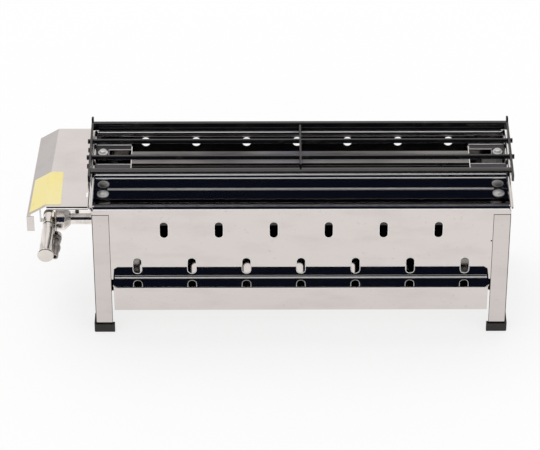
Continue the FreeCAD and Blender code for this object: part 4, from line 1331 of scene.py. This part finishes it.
@dataclass
class Studio:
    """The pale floor, the soft light and the camera of the photograph."""

    focal_px: float = 3050.0
    frame_px: float = 540.0
    sensor: float = 36.0
    camera_at: Vector = Vector((-0.010478, -3.342038, 2.63507))
    pitch_down: float = 37.0
    yaw: float = -0.126
    roll: float = -0.051
    floor_half: float = 9.0
    floor_tone: Colour = WHITE
    floor_glow: float = 0.74
    floor_ends: Span = (-0.95, -0.7)
    sky_strength: float = 0.80
    sun_strength: float = 0.63
    sun_width: float = 40.0
    sun_tilt: Span = (-18.0, -14.0)
    mirrored_white: Colour = (1.05, 0.985, 0.95)
    side_white: Colour = (0.62, 0.60, 0.59)
    dark_tone: Colour = (0.0062, 0.0081, 0.018)
    dark_from: Span = (-11.0, -7.0)
    dark_to: Span = (118.0, 128.0)
    dark_ends: Span = (0.78, 0.92)
    side_ends: Span = (0.25, 0.75)

    def build(self) -> None:
        """Set up floor, light and camera."""
        bpy.context.scene.view_settings.view_transform = "Standard"
        self.floor()
        self.sky()
        self.sun()
        self.camera()

    def floor(self) -> None:
        """A plain pale floor that keeps the grill's shadow."""
        half = self.floor_half
        data = bpy.data.meshes.new("floor")
        data.from_pydata([(x * half, y * half, 0) for x, y in SQUARE], [], [(0, 1, 2, 3)])
        floor = linked("floor", data)
        tree = Tree(bpy.data.materials.new("pale_floor"))
        rays = tree.add("ShaderNodeLightPath").outputs
        rearward = tree.add("ShaderNodeSeparateXYZ", tree.places["Object"]).outputs["Y"]
        mirrored = tree.blended(tree.between(rearward, *self.floor_ends), self.dark_tone, self.mirrored_white)
        tone = tree.blended(rays["Is Glossy Ray"], self.floor_tone, mirrored)
        looked_at = tree.maths("MAXIMUM", rays["Is Camera Ray"], rays["Is Glossy Ray"])
        share = tree.maths("MULTIPLY", looked_at, self.floor_glow)
        lit = tree.add("ShaderNodeBsdfDiffuse", tone)
        glow = tree.add("ShaderNodeEmission", tone)
        mixed = tree.add("ShaderNodeMixShader", share, lit.outputs[0], glow.outputs[0])
        tree.add("ShaderNodeOutputMaterial", mixed.outputs[0])
        data.materials.append(tree.owner)

    def sky(self) -> None:
        """White all round, with a dark field high in front that polished steel picks up."""
        world = bpy.data.worlds.new("studio")
        bpy.context.scene.world = world
        tree = Tree(world)
        x, y, z = tree.add("ShaderNodeSeparateXYZ", tree.places["Generated"]).outputs
        turned = tree.maths("ARCTAN2", z, tree.maths("MULTIPLY", y, -1.0))
        height = tree.maths("MULTIPLY", turned, math.degrees(1.0))
        aside = tree.maths("ABSOLUTE", x)
        rise = tree.between(height, *self.dark_from, smooth=True)
        fall = tree.maths("SUBTRACT", 1.0, tree.between(height, *self.dark_to, smooth=True))
        middle = tree.maths("SUBTRACT", 1.0, tree.between(aside, *self.dark_ends, smooth=True))
        field = tree.maths("MULTIPLY", tree.maths("MULTIPLY", rise, fall), middle)
        sides = tree.between(aside, *self.side_ends, smooth=True)
        bright = tree.blended(sides, self.mirrored_white, self.side_white)
        mirrored = tree.blended(field, bright, self.dark_tone)
        rays = tree.add("ShaderNodeLightPath").outputs
        plain = tree.add("ShaderNodeBackground", WHITE, self.sky_strength)
        glossy = tree.add("ShaderNodeBackground", mirrored, 1.0)
        seen = tree.add("ShaderNodeBackground", WHITE, 1.0)
        lit = tree.add("ShaderNodeMixShader", rays["Is Glossy Ray"], plain.outputs[0], glossy.outputs[0])
        looked_at = tree.maths("MAXIMUM", rays["Is Camera Ray"], rays["Is Transmission Ray"])
        whole = tree.add("ShaderNodeMixShader", looked_at, lit.outputs[0], seen.outputs[0])
        tree.add("ShaderNodeOutputWorld", whole.outputs[0])

    def sun(self) -> None:
        """One wide soft lamp from above and behind."""
        data = bpy.data.lights.new("soft_sun", "SUN")
        data.energy = self.sun_strength
        data.angle = math.radians(self.sun_width)
        lamp = linked("soft_sun", data)
        lamp.rotation_euler = (*map(math.radians, self.sun_tilt), 0)

    def camera(self) -> None:
        """The photograph's long lens, looking down on the front of the grill."""
        data = bpy.data.cameras.new("camera")
        data.sensor_width = self.sensor
        data.lens = self.focal_px / self.frame_px * self.sensor
        camera = linked("camera", data)
        turn = (Matrix.Rotation(math.radians(self.yaw), 4, "Z")
                @ Matrix.Rotation(math.radians(90 - self.pitch_down), 4, "X")
                @ Matrix.Rotation(math.radians(self.roll), 4, "Z"))
        camera.matrix_world = Matrix.Translation(self.camera_at) @ turn
        bpy.context.scene.camera = camera


def main() -> None:
    """Dress the grill and set up the studio."""
    logging.basicConfig(level=logging.INFO, format="%(name)s: %(message)s")
    finishes = Finishes()
    for kind in (SheetBody, RubberFeet, Drawer, ShelfScrews, CoverScrews, Hood, GasLine, Grate, CockCover):
        kind(finishes).build()
        log.info("finished %s", kind.__name__)
    Studio().build()


if __name__ == "__main__":
    main()
